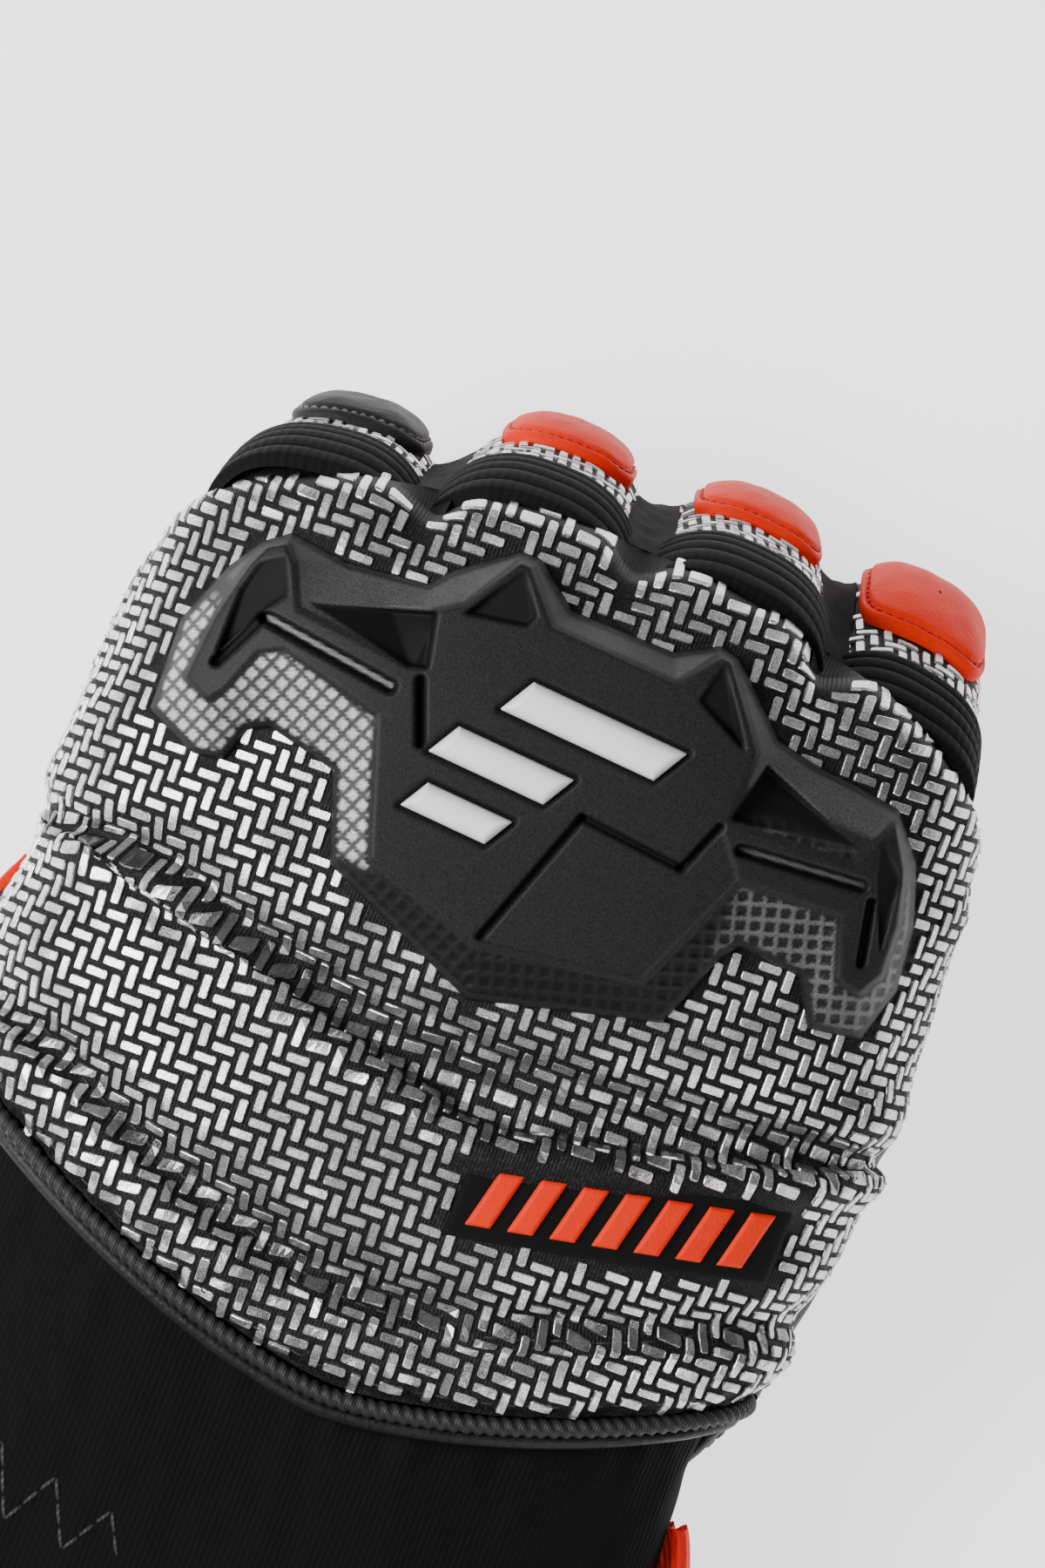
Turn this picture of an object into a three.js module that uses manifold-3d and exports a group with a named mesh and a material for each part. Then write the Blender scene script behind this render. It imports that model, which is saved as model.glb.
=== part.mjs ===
// Ski racing glove for the right hand, curled as around a pole and resting palm down. Millimetres.
// Every solid is first drawn in the frame of the hand: across (towards the little finger), along
// (towards the fingers) and level (out of the back of the hand). The whole is then pitched up at the
// fingers and set on the ground, where the cloth that touches it is flattened.
import * as THREE from "three";
import { mergeVertices } from "three/addons/utils/BufferGeometryUtils.js";
import Module from "manifold-3d";

const wasm = await Module();
wasm.setup();

// Resting pose
const PITCH_DEG = 9;
const LIFT = 50.8;
const SHIFT_ACROSS = 1.95;
const SHIFT_ALONG = 43.1;

// Walls and gaps
const GAP = 0.3;
const ROOM_GROWTH = 0.35;
const HAND_WALL = 2.6;
const CUFF_WALL = 2.0;
const FINGER_WALL = 2.2;
const SOLE_WALL = 2.0;

// Level of the seam between back and palm, a size larger than the glove for cutting, the
// clearance of the thumb around the cuff, and how far the hollows run past the walls they open
const SIDE_SEAM = -2.2;
const ROOM = 200;
const CUFF_ROOM = 1.8;
const OPEN_END = 4;

// Sections of the hand from the lower edge of the back panel to the finger roots.
// The dips of top at -67 and -36 are the lower seam and the fold of the back panel.
const HAND = [
  { along: -76, half: 54.2, top: 23.6, bottom: 24.4, power: 2.6 },
  { along: -71, half: 54.8, top: 24.8, bottom: 24.6, power: 2.6 },
  { along: -67, half: 55.2, top: 23.7, bottom: 24.6, power: 2.6 },
  { along: -63, half: 56.0, top: 25.5, bottom: 24.6, power: 2.65 },
  { along: -52, half: 56.6, top: 26.6, bottom: 24.6, power: 2.7 },
  { along: -41, half: 56.6, top: 26.6, bottom: 24.4, power: 2.7 },
  { along: -36, half: 56.2, top: 24.9, bottom: 24.2, power: 2.7 },
  { along: -31, half: 56.4, top: 27.0, bottom: 24.0, power: 2.75 },
  { along: -20, half: 56.2, top: 27.8, bottom: 23.4, power: 2.8 },
  { along: -5, half: 55.8, top: 28.0, bottom: 22.4, power: 2.8 },
  { along: 8, half: 55.2, top: 27.8, bottom: 21.0, power: 2.8 },
  { along: 17, half: 54.2, top: 26.2, bottom: 19.0, power: 2.8 },
  { along: 24, half: 52.4, top: 22.4, bottom: 16.0, power: 2.7 },
  { along: 27.5, half: 48.5, top: 16.5, bottom: 12.0, power: 2.5 },
];

// Sections of the cuff from its open end to the edge tucked inside the hand
const CUFF = [
  { along: -134, half: 54.6, top: 24.5, bottom: 33.5, power: 2.4 },
  { along: -131, half: 54.8, top: 24.7, bottom: 33.7, power: 2.4 },
  { along: -127, half: 53.6, top: 23.6, bottom: 32.4, power: 2.4 },
  { along: -112, half: 52.2, top: 22.4, bottom: 29.4, power: 2.4 },
  { along: -96, half: 50.6, top: 21.4, bottom: 26.6, power: 2.4 },
  { along: -84, half: 49.2, top: 20.6, bottom: 24.0, power: 2.45 },
  { along: -78, half: 49.6, top: 20.2, bottom: 21.4, power: 2.5 },
  { along: -72, half: 50.0, top: 20.0, bottom: 21.2, power: 2.55 },
  { along: -68, half: 50.2, top: 19.9, bottom: 21.2, power: 2.6 },
];

const WAIST = { side: 4, reach: 50, power: 1.55 };
const ROOTS = { rise: 6.5, reach: 44, shear: 0.34, line: 24, from: -6, to: 24 };
const DROOP = { depth: 16, from: 6, to: 62, endFrom: 84, endTo: 118, under: 0.15, underSine: 0.7 };

// Fingers: where the knuckle stands, how far the finger bends at each joint and its bone lengths
const FINGERS = {
  index: {
    across: -36.9, tipAcross: -35.4, along: 14.5, level: 8.6, first: 78, roll: 10,
    proximal: 41.5, middle: 25, distal: 19, radius: 12.8, tipRadius: 10.6,
  },
  middle: {
    across: -11.6, tipAcross: -11.2, along: 20.0, level: 13.0, first: 76.5, roll: 2,
    proximal: 45, middle: 28, distal: 20, radius: 12.6, tipRadius: 10.7,
  },
  ring: {
    across: 14.4, tipAcross: 12.4, along: 20.0, level: 12.5, first: 75, roll: -4,
    proximal: 44, middle: 27, distal: 20, radius: 12.5, tipRadius: 10.4,
  },
  little: {
    across: 38.3, tipAcross: 34.4, along: 14.0, level: 8.0, first: 62.5, roll: -11,
    proximal: 38, middle: 23, distal: 18, radius: 11.4, tipRadius: 9.8,
  },
};
const START_ANGLE = 12;
const SECOND_BEND = 72;
const THIRD_BEND = 42;
const BEND_LENGTH = [24, 20, 16];
const ROOT_REACH = 12;
const ROOT_TAPER = 0.36;
const TRIM_GAP = 0.5;
const SEAM_TURN = 1.5;
const FINGER_POWER = 2.5;
const FINGER_TIP = [7, 4, 1.6, 0.3];
const SEAM_ROOM = 4;

// Stretch bands around the finger roots, and pads over the middle joints: from and to are
// distances along the finger, or before and past its middle joint, and turns are in degrees
const BAND = { from: 3.5, to: 11, turn0: 20, turn1: 160, height: 1.5, stepsP: 2, stepsQ: 8 };
const PAD = { before: 19, past: 3, turn0: 42, turn1: 138, edge: 1.4, crown: 3.0, stepsP: 5, stepsQ: 6 };

// Thumb: a row per section of its middle line
const THUMB = [
  { step: 0, across: -30, along: -50, level: -7, radius: 12.0 },
  { step: 1, across: -40, along: -53, level: -12, radius: 12.0 },
  { step: 2, across: -47.5, along: -53, level: -19, radius: 11.8 },
  { step: 3, across: -48.6, along: -46, level: -26, radius: 11.6 },
  { step: 4, across: -45.5, along: -36.5, level: -31, radius: 11.3 },
  { step: 5, across: -41.5, along: -27, level: -34.5, radius: 10.9 },
  { step: 6, across: -38.5, along: -15, level: -37, radius: 10.3 },
];
const THUMB_OUTWARD = [-1, 0, -0.15];
const THUMB_TIP = [0.09, 0.05, 0.02, 0.004];
const THUMB_TRIM = { from: 0.36, to: 0.62, turn0: 55, turn1: 125, height: 1.6, steps: 5 };

// Knuckle guard: a row per corner, with the corner of its foot on the cloth and of its crown
const GUARD = [
  { name: "index spike", foot: [-38.3, 16.8], crown: [-38.2, 15.4] },
  { name: "index spike inner", foot: [-35.6, 16.6], crown: [-36.6, 13.6] },
  { name: "left ridge start", foot: [-30.4, 16.0], crown: [-34.0, 8.4] },
  { name: "left ridge end", foot: [-20.6, 17.2], crown: [-18.6, 7.0] },
  { name: "core upper left", foot: [-18.9, 19.4], crown: [-18.4, 14.4] },
  { name: "middle spike foot", foot: [-16.8, 21.2], crown: [-15.4, 16.4] },
  { name: "middle spike left", foot: [-12.0, 25.0], crown: [-11.4, 23.6] },
  { name: "middle spike right", foot: [-9.4, 25.0], crown: [-10.2, 23.6] },
  { name: "upper edge left", foot: [-3.8, 20.6], crown: [-5.3, 17.8] },
  { name: "upper edge right", foot: [9.4, 20.6], crown: [11.1, 17.0] },
  { name: "ring spike left", foot: [14.3, 23.4], crown: [14.8, 22.2] },
  { name: "ring spike right", foot: [16.8, 22.9], crown: [16.0, 22.0] },
  { name: "core upper right", foot: [24.8, 15.6], crown: [22.6, 13.2] },
  { name: "right ridge end", foot: [29.6, 14.5], crown: [22.2, 4.0] },
  { name: "right ridge start", foot: [36.0, 14.0], crown: [38.6, 5.0] },
  { name: "outer spike", foot: [41.4, 13.4], crown: [41.6, 11.4] },
  { name: "right edge upper", foot: [45.8, 8.4], crown: [44.4, 7.0] },
  { name: "right edge middle", foot: [48.6, 1.0], crown: [46.2, 0.6] },
  { name: "right edge lower", foot: [49.6, -6.8], crown: [46.6, -5.5] },
  { name: "right toe outer", foot: [47.6, -13.6], crown: [44.9, -8.4] },
  { name: "right toe inner", foot: [41.2, -14.6], crown: [42.2, -7.8] },
  { name: "right wing inner", foot: [38.0, -9.2], crown: [39.6, -0.6] },
  { name: "right arm lower", foot: [29.6, -8.6], crown: [26.4, -1.4] },
  { name: "core lower right", foot: [28.0, -10.8], crown: [25.0, -5.1] },
  { name: "plate right", foot: [24.4, -20.4], crown: [20.2, -16.7] },
  { name: "plate low", foot: [2.0, -26.4], crown: [0.2, -20.0] },
  { name: "core low left", foot: [-19.0, -17.7], crown: [-14.6, -15.3] },
  { name: "left arm inner", foot: [-22.9, -7.2], crown: [-20.2, 0.8] },
  { name: "left arm outer", foot: [-32.0, -5.2], crown: [-33.6, 4.1] },
  { name: "left wing inner", foot: [-34.6, -6.6], crown: [-36.6, 2.6] },
  { name: "left toe inner", foot: [-36.0, -11.0], crown: [-38.6, -3.2] },
  { name: "left toe", foot: [-39.4, -11.6], crown: [-39.9, -4.8] },
  { name: "left toe outer", foot: [-46.2, -8.8], crown: [-43.2, -3.6] },
  { name: "left edge middle", foot: [-46.8, 2.6], crown: [-42.6, 4.5] },
  { name: "left edge upper", foot: [-43.8, 10.4], crown: [-41.2, 11.6] },
  { name: "index spike outer", foot: [-41.2, 14.6], crown: [-40.2, 14.2] },
];
const GUARD_EDGE = 1.0;
const GUARD_CROWN = 5.6;
const GUARD_LIFT = 0.5;
const GUARD_FACET = 10.5;
const SLOT_DEPTH = 1.6;

// Slots, grooves and sunk facets of the crown, each a straight cut between two places
const GUARD_CUTS = [
  { name: "left long slot", from: [-37.0, 6.5], to: [-20.2, 4.3], width: 1.5 },
  { name: "left short slot", from: [-37.6, 6.2], to: [-40.6, -0.6], width: 1.1 },
  { name: "left side slot", from: [-17.2, 6.4], to: [-14.2, -0.4], width: 1.0 },
  { name: "right long slot", from: [25.4, 1.9], to: [40.6, 3.4], width: 1.4 },
  { name: "right short slot", from: [41.9, 2.4], to: [44.0, -4.4], width: 1.0 },
  { name: "plate line low", from: [0.6, -18.6], to: [6.5, -1.4], width: 1.0 },
  { name: "plate line middle", from: [6.5, -1.4], to: [19.4, -2.6], width: 1.0 },
  { name: "plate line upper", from: [19.4, -2.6], to: [22.2, 3.2], width: 1.0 },
];

// White inlays across the crown, and the badge of slanted bars at the wrist
const STRIPES = [
  { across: 4.0, along: 8.4, length: 20, width: 4.6 },
  { across: -4.6, along: 0.6, length: 15, width: 4.2 },
  { across: -7.4, along: -6.6, length: 11, width: 3.8 },
];
const BADGE = { across: 29.0, along: -44.4, length: 40, width: 10.6, turn: 12, slant: 0.2, steps: 12 };
const STRIPE = { turn: -3, slant: 0.5, steps: 4, height: 1.1 };
const BADGE_HEIGHT = { low: 0.35, high: 1.4 };
const BADGE_BARS = { count: 7, pitch: 5.1, length: 3.2, width: 7, slant: 0.45, low: 1.7, high: 2.5 };

// Rolled piping around the wrist edge of the hand, and the pull tab looped out of the cuff
const PIPING = { along: -77.8, inset: -1.2, radius: 1.35, turns: 32, sides: 5 };
const TAB = { from: -91, to: -121, halfAngle: 24, thickness: 2.0, bulge: 4.2, stepsP: 10, stepsQ: 4 };
const TAB_POWER = 0.8;

// How finely each skin is faceted: sides around it and rings along it, outside and inside
const FACETS = {
  hand: { sides: 30, innerSides: 18, innerRings: 8 },
  cuff: { sides: 26, innerSides: 22, innerRings: 6 },
  finger: { sides: 12, rings: 8, innerSides: 8, innerRings: 6 },
  thumb: { sides: 12, rings: 7, innerSides: 9, innerRings: 6 },
};
const CENTRE_STEPS = 40;
const LEVEL_PASSES = 8;

// A rounded end stops just short of its tip, and a place on the hand just short of its side
const NEAR_TIP = 0.995;

// Colours of the materials
const LOOKS = {
  silver: { color: 0x8c9094, roughness: 0.5, metalness: 0.3 },
  leather: { color: 0x17171a, roughness: 0.6, metalness: 0 },
  stretch: { color: 0x101012, roughness: 0.9, metalness: 0 },
  rubber: { color: 0x242426, roughness: 0.55, metalness: 0 },
  orange: { color: 0xff4a14, roughness: 0.5, metalness: 0 },
  white: { color: 0xf0f0f0, roughness: 0.35, metalness: 0 },
};

const rad = THREE.MathUtils.degToRad;
const clamp = THREE.MathUtils.clamp;
const lerp = THREE.MathUtils.lerp;

function ease(value, from, to) {
  return THREE.MathUtils.smoothstep(value, from, to);
}

function signedPower(value, power) {
  return Math.sign(value) * Math.pow(Math.abs(value), power);
}

// Reads a table of named columns at any place along it
function rowAt(table, key, value) {
  let next = 1;
  while (next < table.length - 1 && table[next][key] < value) {
    next += 1;
  }
  const low = table[next - 1];
  const high = table[next];
  const share = (value - low[key]) / (high[key] - low[key]);
  const row = {};
  for (const name of Object.keys(low)) {
    row[name] = lerp(low[name], high[name], share);
  }
  return row;
}

// The panel edges droop to the wrist in the middle of the back, and the finger roots stand in an arc
function bendAlong(along, across, sine) {
  const under = lerp(1, DROOP.under, ease(-sine, 0, DROOP.underSine));
  const ended = ease(-along, DROOP.endFrom, DROOP.endTo);
  const droop = DROOP.depth * ease(-along, DROOP.from, DROOP.to) * (1 - ended);
  const waist = Math.pow(Math.abs((across - WAIST.side) / WAIST.reach), WAIST.power);
  const rise = ROOTS.rise * ease(along, ROOTS.from, ROOTS.to);
  return droop * waist * under + rise * (1 - Math.pow(across / ROOTS.reach, 2));
}

function sleevePoint(table, along, angle, grow) {
  const row = rowAt(table, "along", along);
  const cosine = Math.cos(angle);
  const sine = Math.sin(angle);
  const depth = sine >= 0 ? row.top : row.bottom;
  const across = (row.half + grow) * signedPower(cosine, 2 / row.power);
  const level = (depth + grow) * signedPower(sine, 2 / row.power);
  const shear = ROOTS.shear * ease(along, 0, ROOTS.to) * (ROOTS.line - level);
  return [across, along + bendAlong(along, across, sine) - shear, level];
}

// Height of the back of the hand over a place across and along it
function backLevel(across, along) {
  let station = along;
  let level = 0;
  for (let pass = 0; pass < LEVEL_PASSES; pass += 1) {
    const row = rowAt(HAND, "along", station);
    const share = clamp(Math.abs(across) / row.half, 0, NEAR_TIP);
    const sine = Math.pow(1 - Math.pow(share, row.power), 1 / row.power);
    level = row.top * sine;
    const shear = ROOTS.shear * ease(station, 0, ROOTS.to) * (ROOTS.line - level);
    station = along - bendAlong(station, across, 0.5) + shear;
  }
  return level;
}

function backPoint(across, along, height) {
  return [across, along, backLevel(across, along) + height];
}

// Closed solid from rings of points, each end closed by a fan around its middle
function solidFromRings(rings, closedLoop) {
  const points = [];
  const triangles = [];
  const sides = rings[0].length;
  for (const ring of rings) {
    for (const point of ring) {
      points.push(point);
    }
  }
  const steps = closedLoop ? rings.length : rings.length - 1;
  for (let step = 0; step < steps; step += 1) {
    const here = step * sides;
    const there = ((step + 1) % rings.length) * sides;
    for (let side = 0; side < sides; side += 1) {
      const turn = (side + 1) % sides;
      triangles.push([here + side, here + turn, there + side]);
      triangles.push([here + turn, there + turn, there + side]);
    }
  }
  if (!closedLoop) {
    closeEnd(points, triangles, 0, sides, true);
    closeEnd(points, triangles, (rings.length - 1) * sides, sides, false);
  }
  return solidFromTriangles(points, triangles);
}

function closeEnd(points, triangles, first, sides, start) {
  const middle = [0, 0, 0];
  for (let side = 0; side < sides; side += 1) {
    for (let axis = 0; axis < 3; axis += 1) {
      middle[axis] += points[first + side][axis] / sides;
    }
  }
  const hub = points.length;
  points.push(middle);
  for (let side = 0; side < sides; side += 1) {
    const a = first + side;
    const b = first + ((side + 1) % sides);
    triangles.push(start ? [hub, b, a] : [hub, a, b]);
  }
}

function solidFromTriangles(points, triangles) {
  let volume = 0;
  for (const [a, b, c] of triangles) {
    const p = new THREE.Vector3(...points[a]);
    const q = new THREE.Vector3(...points[b]);
    const r = new THREE.Vector3(...points[c]);
    volume += p.dot(q.cross(r));
  }
  const indices = [];
  for (const [a, b, c] of triangles) {
    indices.push(a, volume > 0 ? b : c, volume > 0 ? c : b);
  }
  const geometry = new THREE.BufferGeometry();
  geometry.setAttribute("position", new THREE.Float32BufferAttribute(points.flat(), 3));
  geometry.setIndex(indices);
  return solidOf(geometry);
}

// Solid of a closed geometry, for joining and cutting
function solidOf(geometry) {
  const bare = geometry.clone();
  bare.deleteAttribute("normal");
  bare.deleteAttribute("uv");
  const merged = mergeVertices(bare, 1e-4);
  return new wasm.Manifold(new wasm.Mesh({
    numProp: 3,
    vertProperties: merged.attributes.position.array,
    triVerts: new Uint32Array(merged.index.array),
  }));
}

function geometryOf(solid) {
  const mesh = solid.getMesh();
  const positions = [];
  for (let vertex = 0; vertex < mesh.numVert; vertex += 1) {
    const start = vertex * mesh.numProp;
    positions.push(...mesh.vertProperties.subarray(start, start + 3));
  }
  const geometry = new THREE.BufferGeometry();
  geometry.setAttribute("position", new THREE.Float32BufferAttribute(positions, 3));
  geometry.setIndex(Array.from(mesh.triVerts));
  geometry.computeVertexNormals();
  return geometry;
}

function boxSolid(width, depth, height, matrix) {
  return solidOf(new THREE.BoxGeometry(width, depth, height).applyMatrix4(matrix));
}

function sleeveSolid(table, stations, sides, grow) {
  const rings = [];
  for (const along of stations) {
    const ring = [];
    for (let side = 0; side < sides; side += 1) {
      ring.push(sleevePoint(table, along, ((side + 0.5) / sides) * 2 * Math.PI, grow));
    }
    rings.push(ring);
  }
  return solidFromRings(rings, false);
}

// Thin piece that lies on a surface: place(p, q, height) gives its points
function patchSolid(place, patch, low, high) {
  const { p0, p1, q0, q1, stepsP, stepsQ } = patch;
  const points = [];
  const triangles = [];
  const layer = (stepsP + 1) * (stepsQ + 1);
  for (const height of [low, high]) {
    for (let i = 0; i <= stepsP; i += 1) {
      for (let j = 0; j <= stepsQ; j += 1) {
        const p = lerp(p0, p1, i / stepsP);
        const q = lerp(q0, q1, j / stepsQ);
        points.push(place(p, q, height(i / stepsP, j / stepsQ)));
      }
    }
  }
  const at = (i, j) => i * (stepsQ + 1) + j;
  const quad = (a, b, c, d) => triangles.push([a, b, c], [a, c, d]);
  for (let i = 0; i < stepsP; i += 1) {
    for (let j = 0; j < stepsQ; j += 1) {
      const corners = [at(i, j), at(i + 1, j), at(i + 1, j + 1), at(i, j + 1)];
      quad(corners[3], corners[2], corners[1], corners[0]);
      quad(...corners.map((corner) => corner + layer));
    }
  }
  const rim = [];
  for (let i = 0; i < stepsP; i += 1) {
    rim.push(at(i, 0));
  }
  for (let j = 0; j < stepsQ; j += 1) {
    rim.push(at(stepsP, j));
  }
  for (let i = stepsP; i > 0; i -= 1) {
    rim.push(at(i, stepsQ));
  }
  for (let j = stepsQ; j > 0; j -= 1) {
    rim.push(at(0, j));
  }
  for (let k = 0; k < rim.length; k += 1) {
    const a = rim[k];
    const b = rim[(k + 1) % rim.length];
    quad(a, b, b + layer, a + layer);
  }
  return solidFromTriangles(points, triangles);
}

function fingerAngle(finger, distance) {
  const joints = [0, finger.proximal, finger.proximal + finger.middle];
  const bends = [finger.first - START_ANGLE, SECOND_BEND, THIRD_BEND];
  let angle = START_ANGLE;
  for (let joint = 0; joint < 3; joint += 1) {
    const half = BEND_LENGTH[joint] / 2;
    angle += bends[joint] * clamp((distance - joints[joint] + half) / (2 * half), 0, 1);
  }
  return rad(angle);
}

function fingerLength(finger) {
  return finger.proximal + finger.middle + finger.distal;
}

// Middle line of a finger, walked from the knuckle in small steps both ways
function fingerCentre(finger, distance) {
  const centre = { along: finger.along, level: finger.level };
  for (let step = 0; step < CENTRE_STEPS; step += 1) {
    const angle = fingerAngle(finger, (distance * (step + 0.5)) / CENTRE_STEPS);
    centre.along += (Math.cos(angle) * distance) / CENTRE_STEPS;
    centre.level -= (Math.sin(angle) * distance) / CENTRE_STEPS;
  }
  const share = clamp(distance / fingerLength(finger), 0, 1);
  centre.across = lerp(finger.across, finger.tipAcross, share);
  return centre;
}

function fingerPoint(finger, distance, angle, grow) {
  const length = fingerLength(finger);
  const share = clamp(distance / length, 0, 1);
  const taper = 1 - ROOT_TAPER * ease(-distance, 0, ROOT_REACH);
  const radius = lerp(finger.radius, finger.tipRadius, share) * taper + grow;
  const end = length + grow;
  const past = clamp((distance - (end - radius)) / radius, 0, NEAR_TIP);
  const scale = Math.sqrt(1 - past * past);
  const centre = fingerCentre(finger, distance);
  const slope = fingerAngle(finger, distance);
  const roll = rad(finger.roll) * (1 - share);
  const flat = scale * radius * signedPower(Math.cos(angle), 2 / FINGER_POWER);
  const tall = scale * radius * signedPower(Math.sin(angle), 2 / FINGER_POWER);
  const side = flat * Math.cos(roll) - tall * Math.sin(roll);
  const up = flat * Math.sin(roll) + tall * Math.cos(roll);
  return [
    centre.across + side,
    centre.along + up * Math.sin(slope),
    centre.level + up * Math.cos(slope),
  ];
}

function fingerStations(finger, grow, rings) {
  const end = fingerLength(finger) + grow;
  const stations = [];
  for (let step = 0; step <= rings; step += 1) {
    stations.push(lerp(-ROOT_REACH, end - FINGER_TIP[0], step / rings));
  }
  stations.push(...FINGER_TIP.slice(1).map((before) => end - before));
  return stations;
}

function fingerSolid(finger, grow, rings, sides) {
  const list = [];
  for (const distance of fingerStations(finger, grow, rings)) {
    const ring = [];
    for (let side = 0; side < sides; side += 1) {
      ring.push(fingerPoint(finger, distance, ((side + 0.5) / sides) * 2 * Math.PI, grow));
    }
    list.push(ring);
  }
  return solidFromRings(list, false);
}

// Room on the back side of a finger's seams, which lean to the outside with the finger
function fingerBackRoom(finger, start) {
  const list = [];
  const reach = finger.radius + SEAM_ROOM;
  const turn = rad(SEAM_TURN * finger.roll);
  const stations = fingerStations(finger, 0, FACETS.finger.rings).slice(1, 1 - FINGER_TIP.length);
  const ends = [-ROOT_REACH - SEAM_ROOM / 2, fingerLength(finger) + SEAM_ROOM];
  for (const distance of [ends[0], ...stations, ends[1]]) {
    const centre = fingerCentre(finger, distance);
    const slope = fingerAngle(finger, distance);
    const corners = [[-reach, start], [reach, start], [reach, reach], [-reach, reach]];
    const ring = corners.map(([x, y]) => {
      const side = x * Math.cos(turn) - y * Math.sin(turn);
      const up = x * Math.sin(turn) + y * Math.cos(turn);
      return [
        centre.across + side,
        centre.along + up * Math.sin(slope),
        centre.level + up * Math.cos(slope),
      ];
    });
    list.push(ring);
  }
  return solidFromRings(list, false);
}

const thumbCurve = new THREE.CatmullRomCurve3(
  THUMB.map((row) => new THREE.Vector3(row.across, row.along, row.level)),
);

function thumbPoint(share, angle, grow) {
  const radius = rowAt(THUMB, "step", share * (THUMB.length - 1)).radius + grow;
  const length = thumbCurve.getLength();
  const end = 1 + grow / length;
  const past = clamp((share - (end - radius / length)) / (radius / length), 0, NEAR_TIP);
  const scale = Math.sqrt(1 - past * past);
  const centre = thumbCurve.getPointAt(clamp(share, 0, 1));
  const forward = thumbCurve.getTangentAt(clamp(share, 0, 1));
  const outward = new THREE.Vector3(...THUMB_OUTWARD);
  outward.addScaledVector(forward, -outward.dot(forward)).normalize();
  const across = new THREE.Vector3().crossVectors(forward, outward);
  const side = scale * radius * signedPower(Math.cos(angle), 2 / FINGER_POWER);
  const up = scale * radius * signedPower(Math.sin(angle), 2 / FINGER_POWER);
  const point = centre.addScaledVector(across, side).addScaledVector(outward, up);
  return [point.x, point.y, point.z];
}

function thumbSolid(grow, rings, sides) {
  const end = 1 + grow / thumbCurve.getLength();
  const shares = [];
  for (let step = 0; step <= rings; step += 1) {
    shares.push(lerp(0, end - THUMB_TIP[0], step / rings));
  }
  shares.push(...THUMB_TIP.slice(1).map((before) => end - before));
  const list = shares.map((share) => {
    const ring = [];
    for (let side = 0; side < sides; side += 1) {
      ring.push(thumbPoint(share, ((side + 0.5) / sides) * 2 * Math.PI, grow));
    }
    return ring;
  });
  return solidFromRings(list, false);
}

function flatFaces(outline, first, upward) {
  const contour = outline.map((corner) => new THREE.Vector2(...corner));
  return THREE.ShapeUtils.triangulateShape(contour, []).map(([a, b, c]) => {
    const p = contour[a];
    const q = contour[b];
    const r = contour[c];
    const area = (q.x - p.x) * (r.y - p.y) - (r.x - p.x) * (q.y - p.y);
    const keep = area > 0 === upward;
    return keep ? [first + a, first + b, first + c] : [first + a, first + c, first + b];
  });
}

// Splits every edge longer than the limit at its middle, until the guard can follow the hand
function refined(points, triangles, limit) {
  const finePoints = [...points];
  let fineTriangles = triangles;
  let splits = 1;
  while (splits > 0) {
    const middles = new Map();
    const middleOf = (a, b) => {
      const key = a < b ? `${a} ${b}` : `${b} ${a}`;
      if (!middles.has(key)) {
        const p = new THREE.Vector3(...finePoints[a]);
        const q = new THREE.Vector3(...finePoints[b]);
        const long = p.distanceTo(q) > limit;
        middles.set(key, long ? finePoints.length : -1);
        if (long) {
          finePoints.push(p.lerp(q, 0.5).toArray());
        }
      }
      return middles.get(key);
    };
    splits = 0;
    const next = [];
    for (const corners of fineTriangles) {
      const middle = corners.map((corner, k) => middleOf(corner, corners[(k + 1) % 3]));
      const cuts = middle.filter((point) => point >= 0).length;
      splits += cuts;
      // Turn the corners so that the uncut edge comes last, or the only cut edge first
      const first = cuts === 1 ? middle.findIndex((point) => point >= 0)
        : (middle.indexOf(-1) + 1) % 3;
      const [a, b, c] = [0, 1, 2].map((k) => corners[(first + k) % 3]);
      const [ab, bc, ca] = [0, 1, 2].map((k) => middle[(first + k) % 3]);
      if (cuts === 0) {
        next.push(corners);
      } else if (cuts === 1) {
        next.push([a, ab, c], [ab, b, c]);
      } else if (cuts === 2) {
        next.push([ab, b, bc], [ab, bc, c], [ab, c, a]);
      } else {
        next.push([a, ab, ca], [ab, b, bc], [ca, bc, c], [ab, bc, ca]);
      }
    }
    fineTriangles = next;
  }
  return { points: finePoints, triangles: fineTriangles };
}

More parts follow.
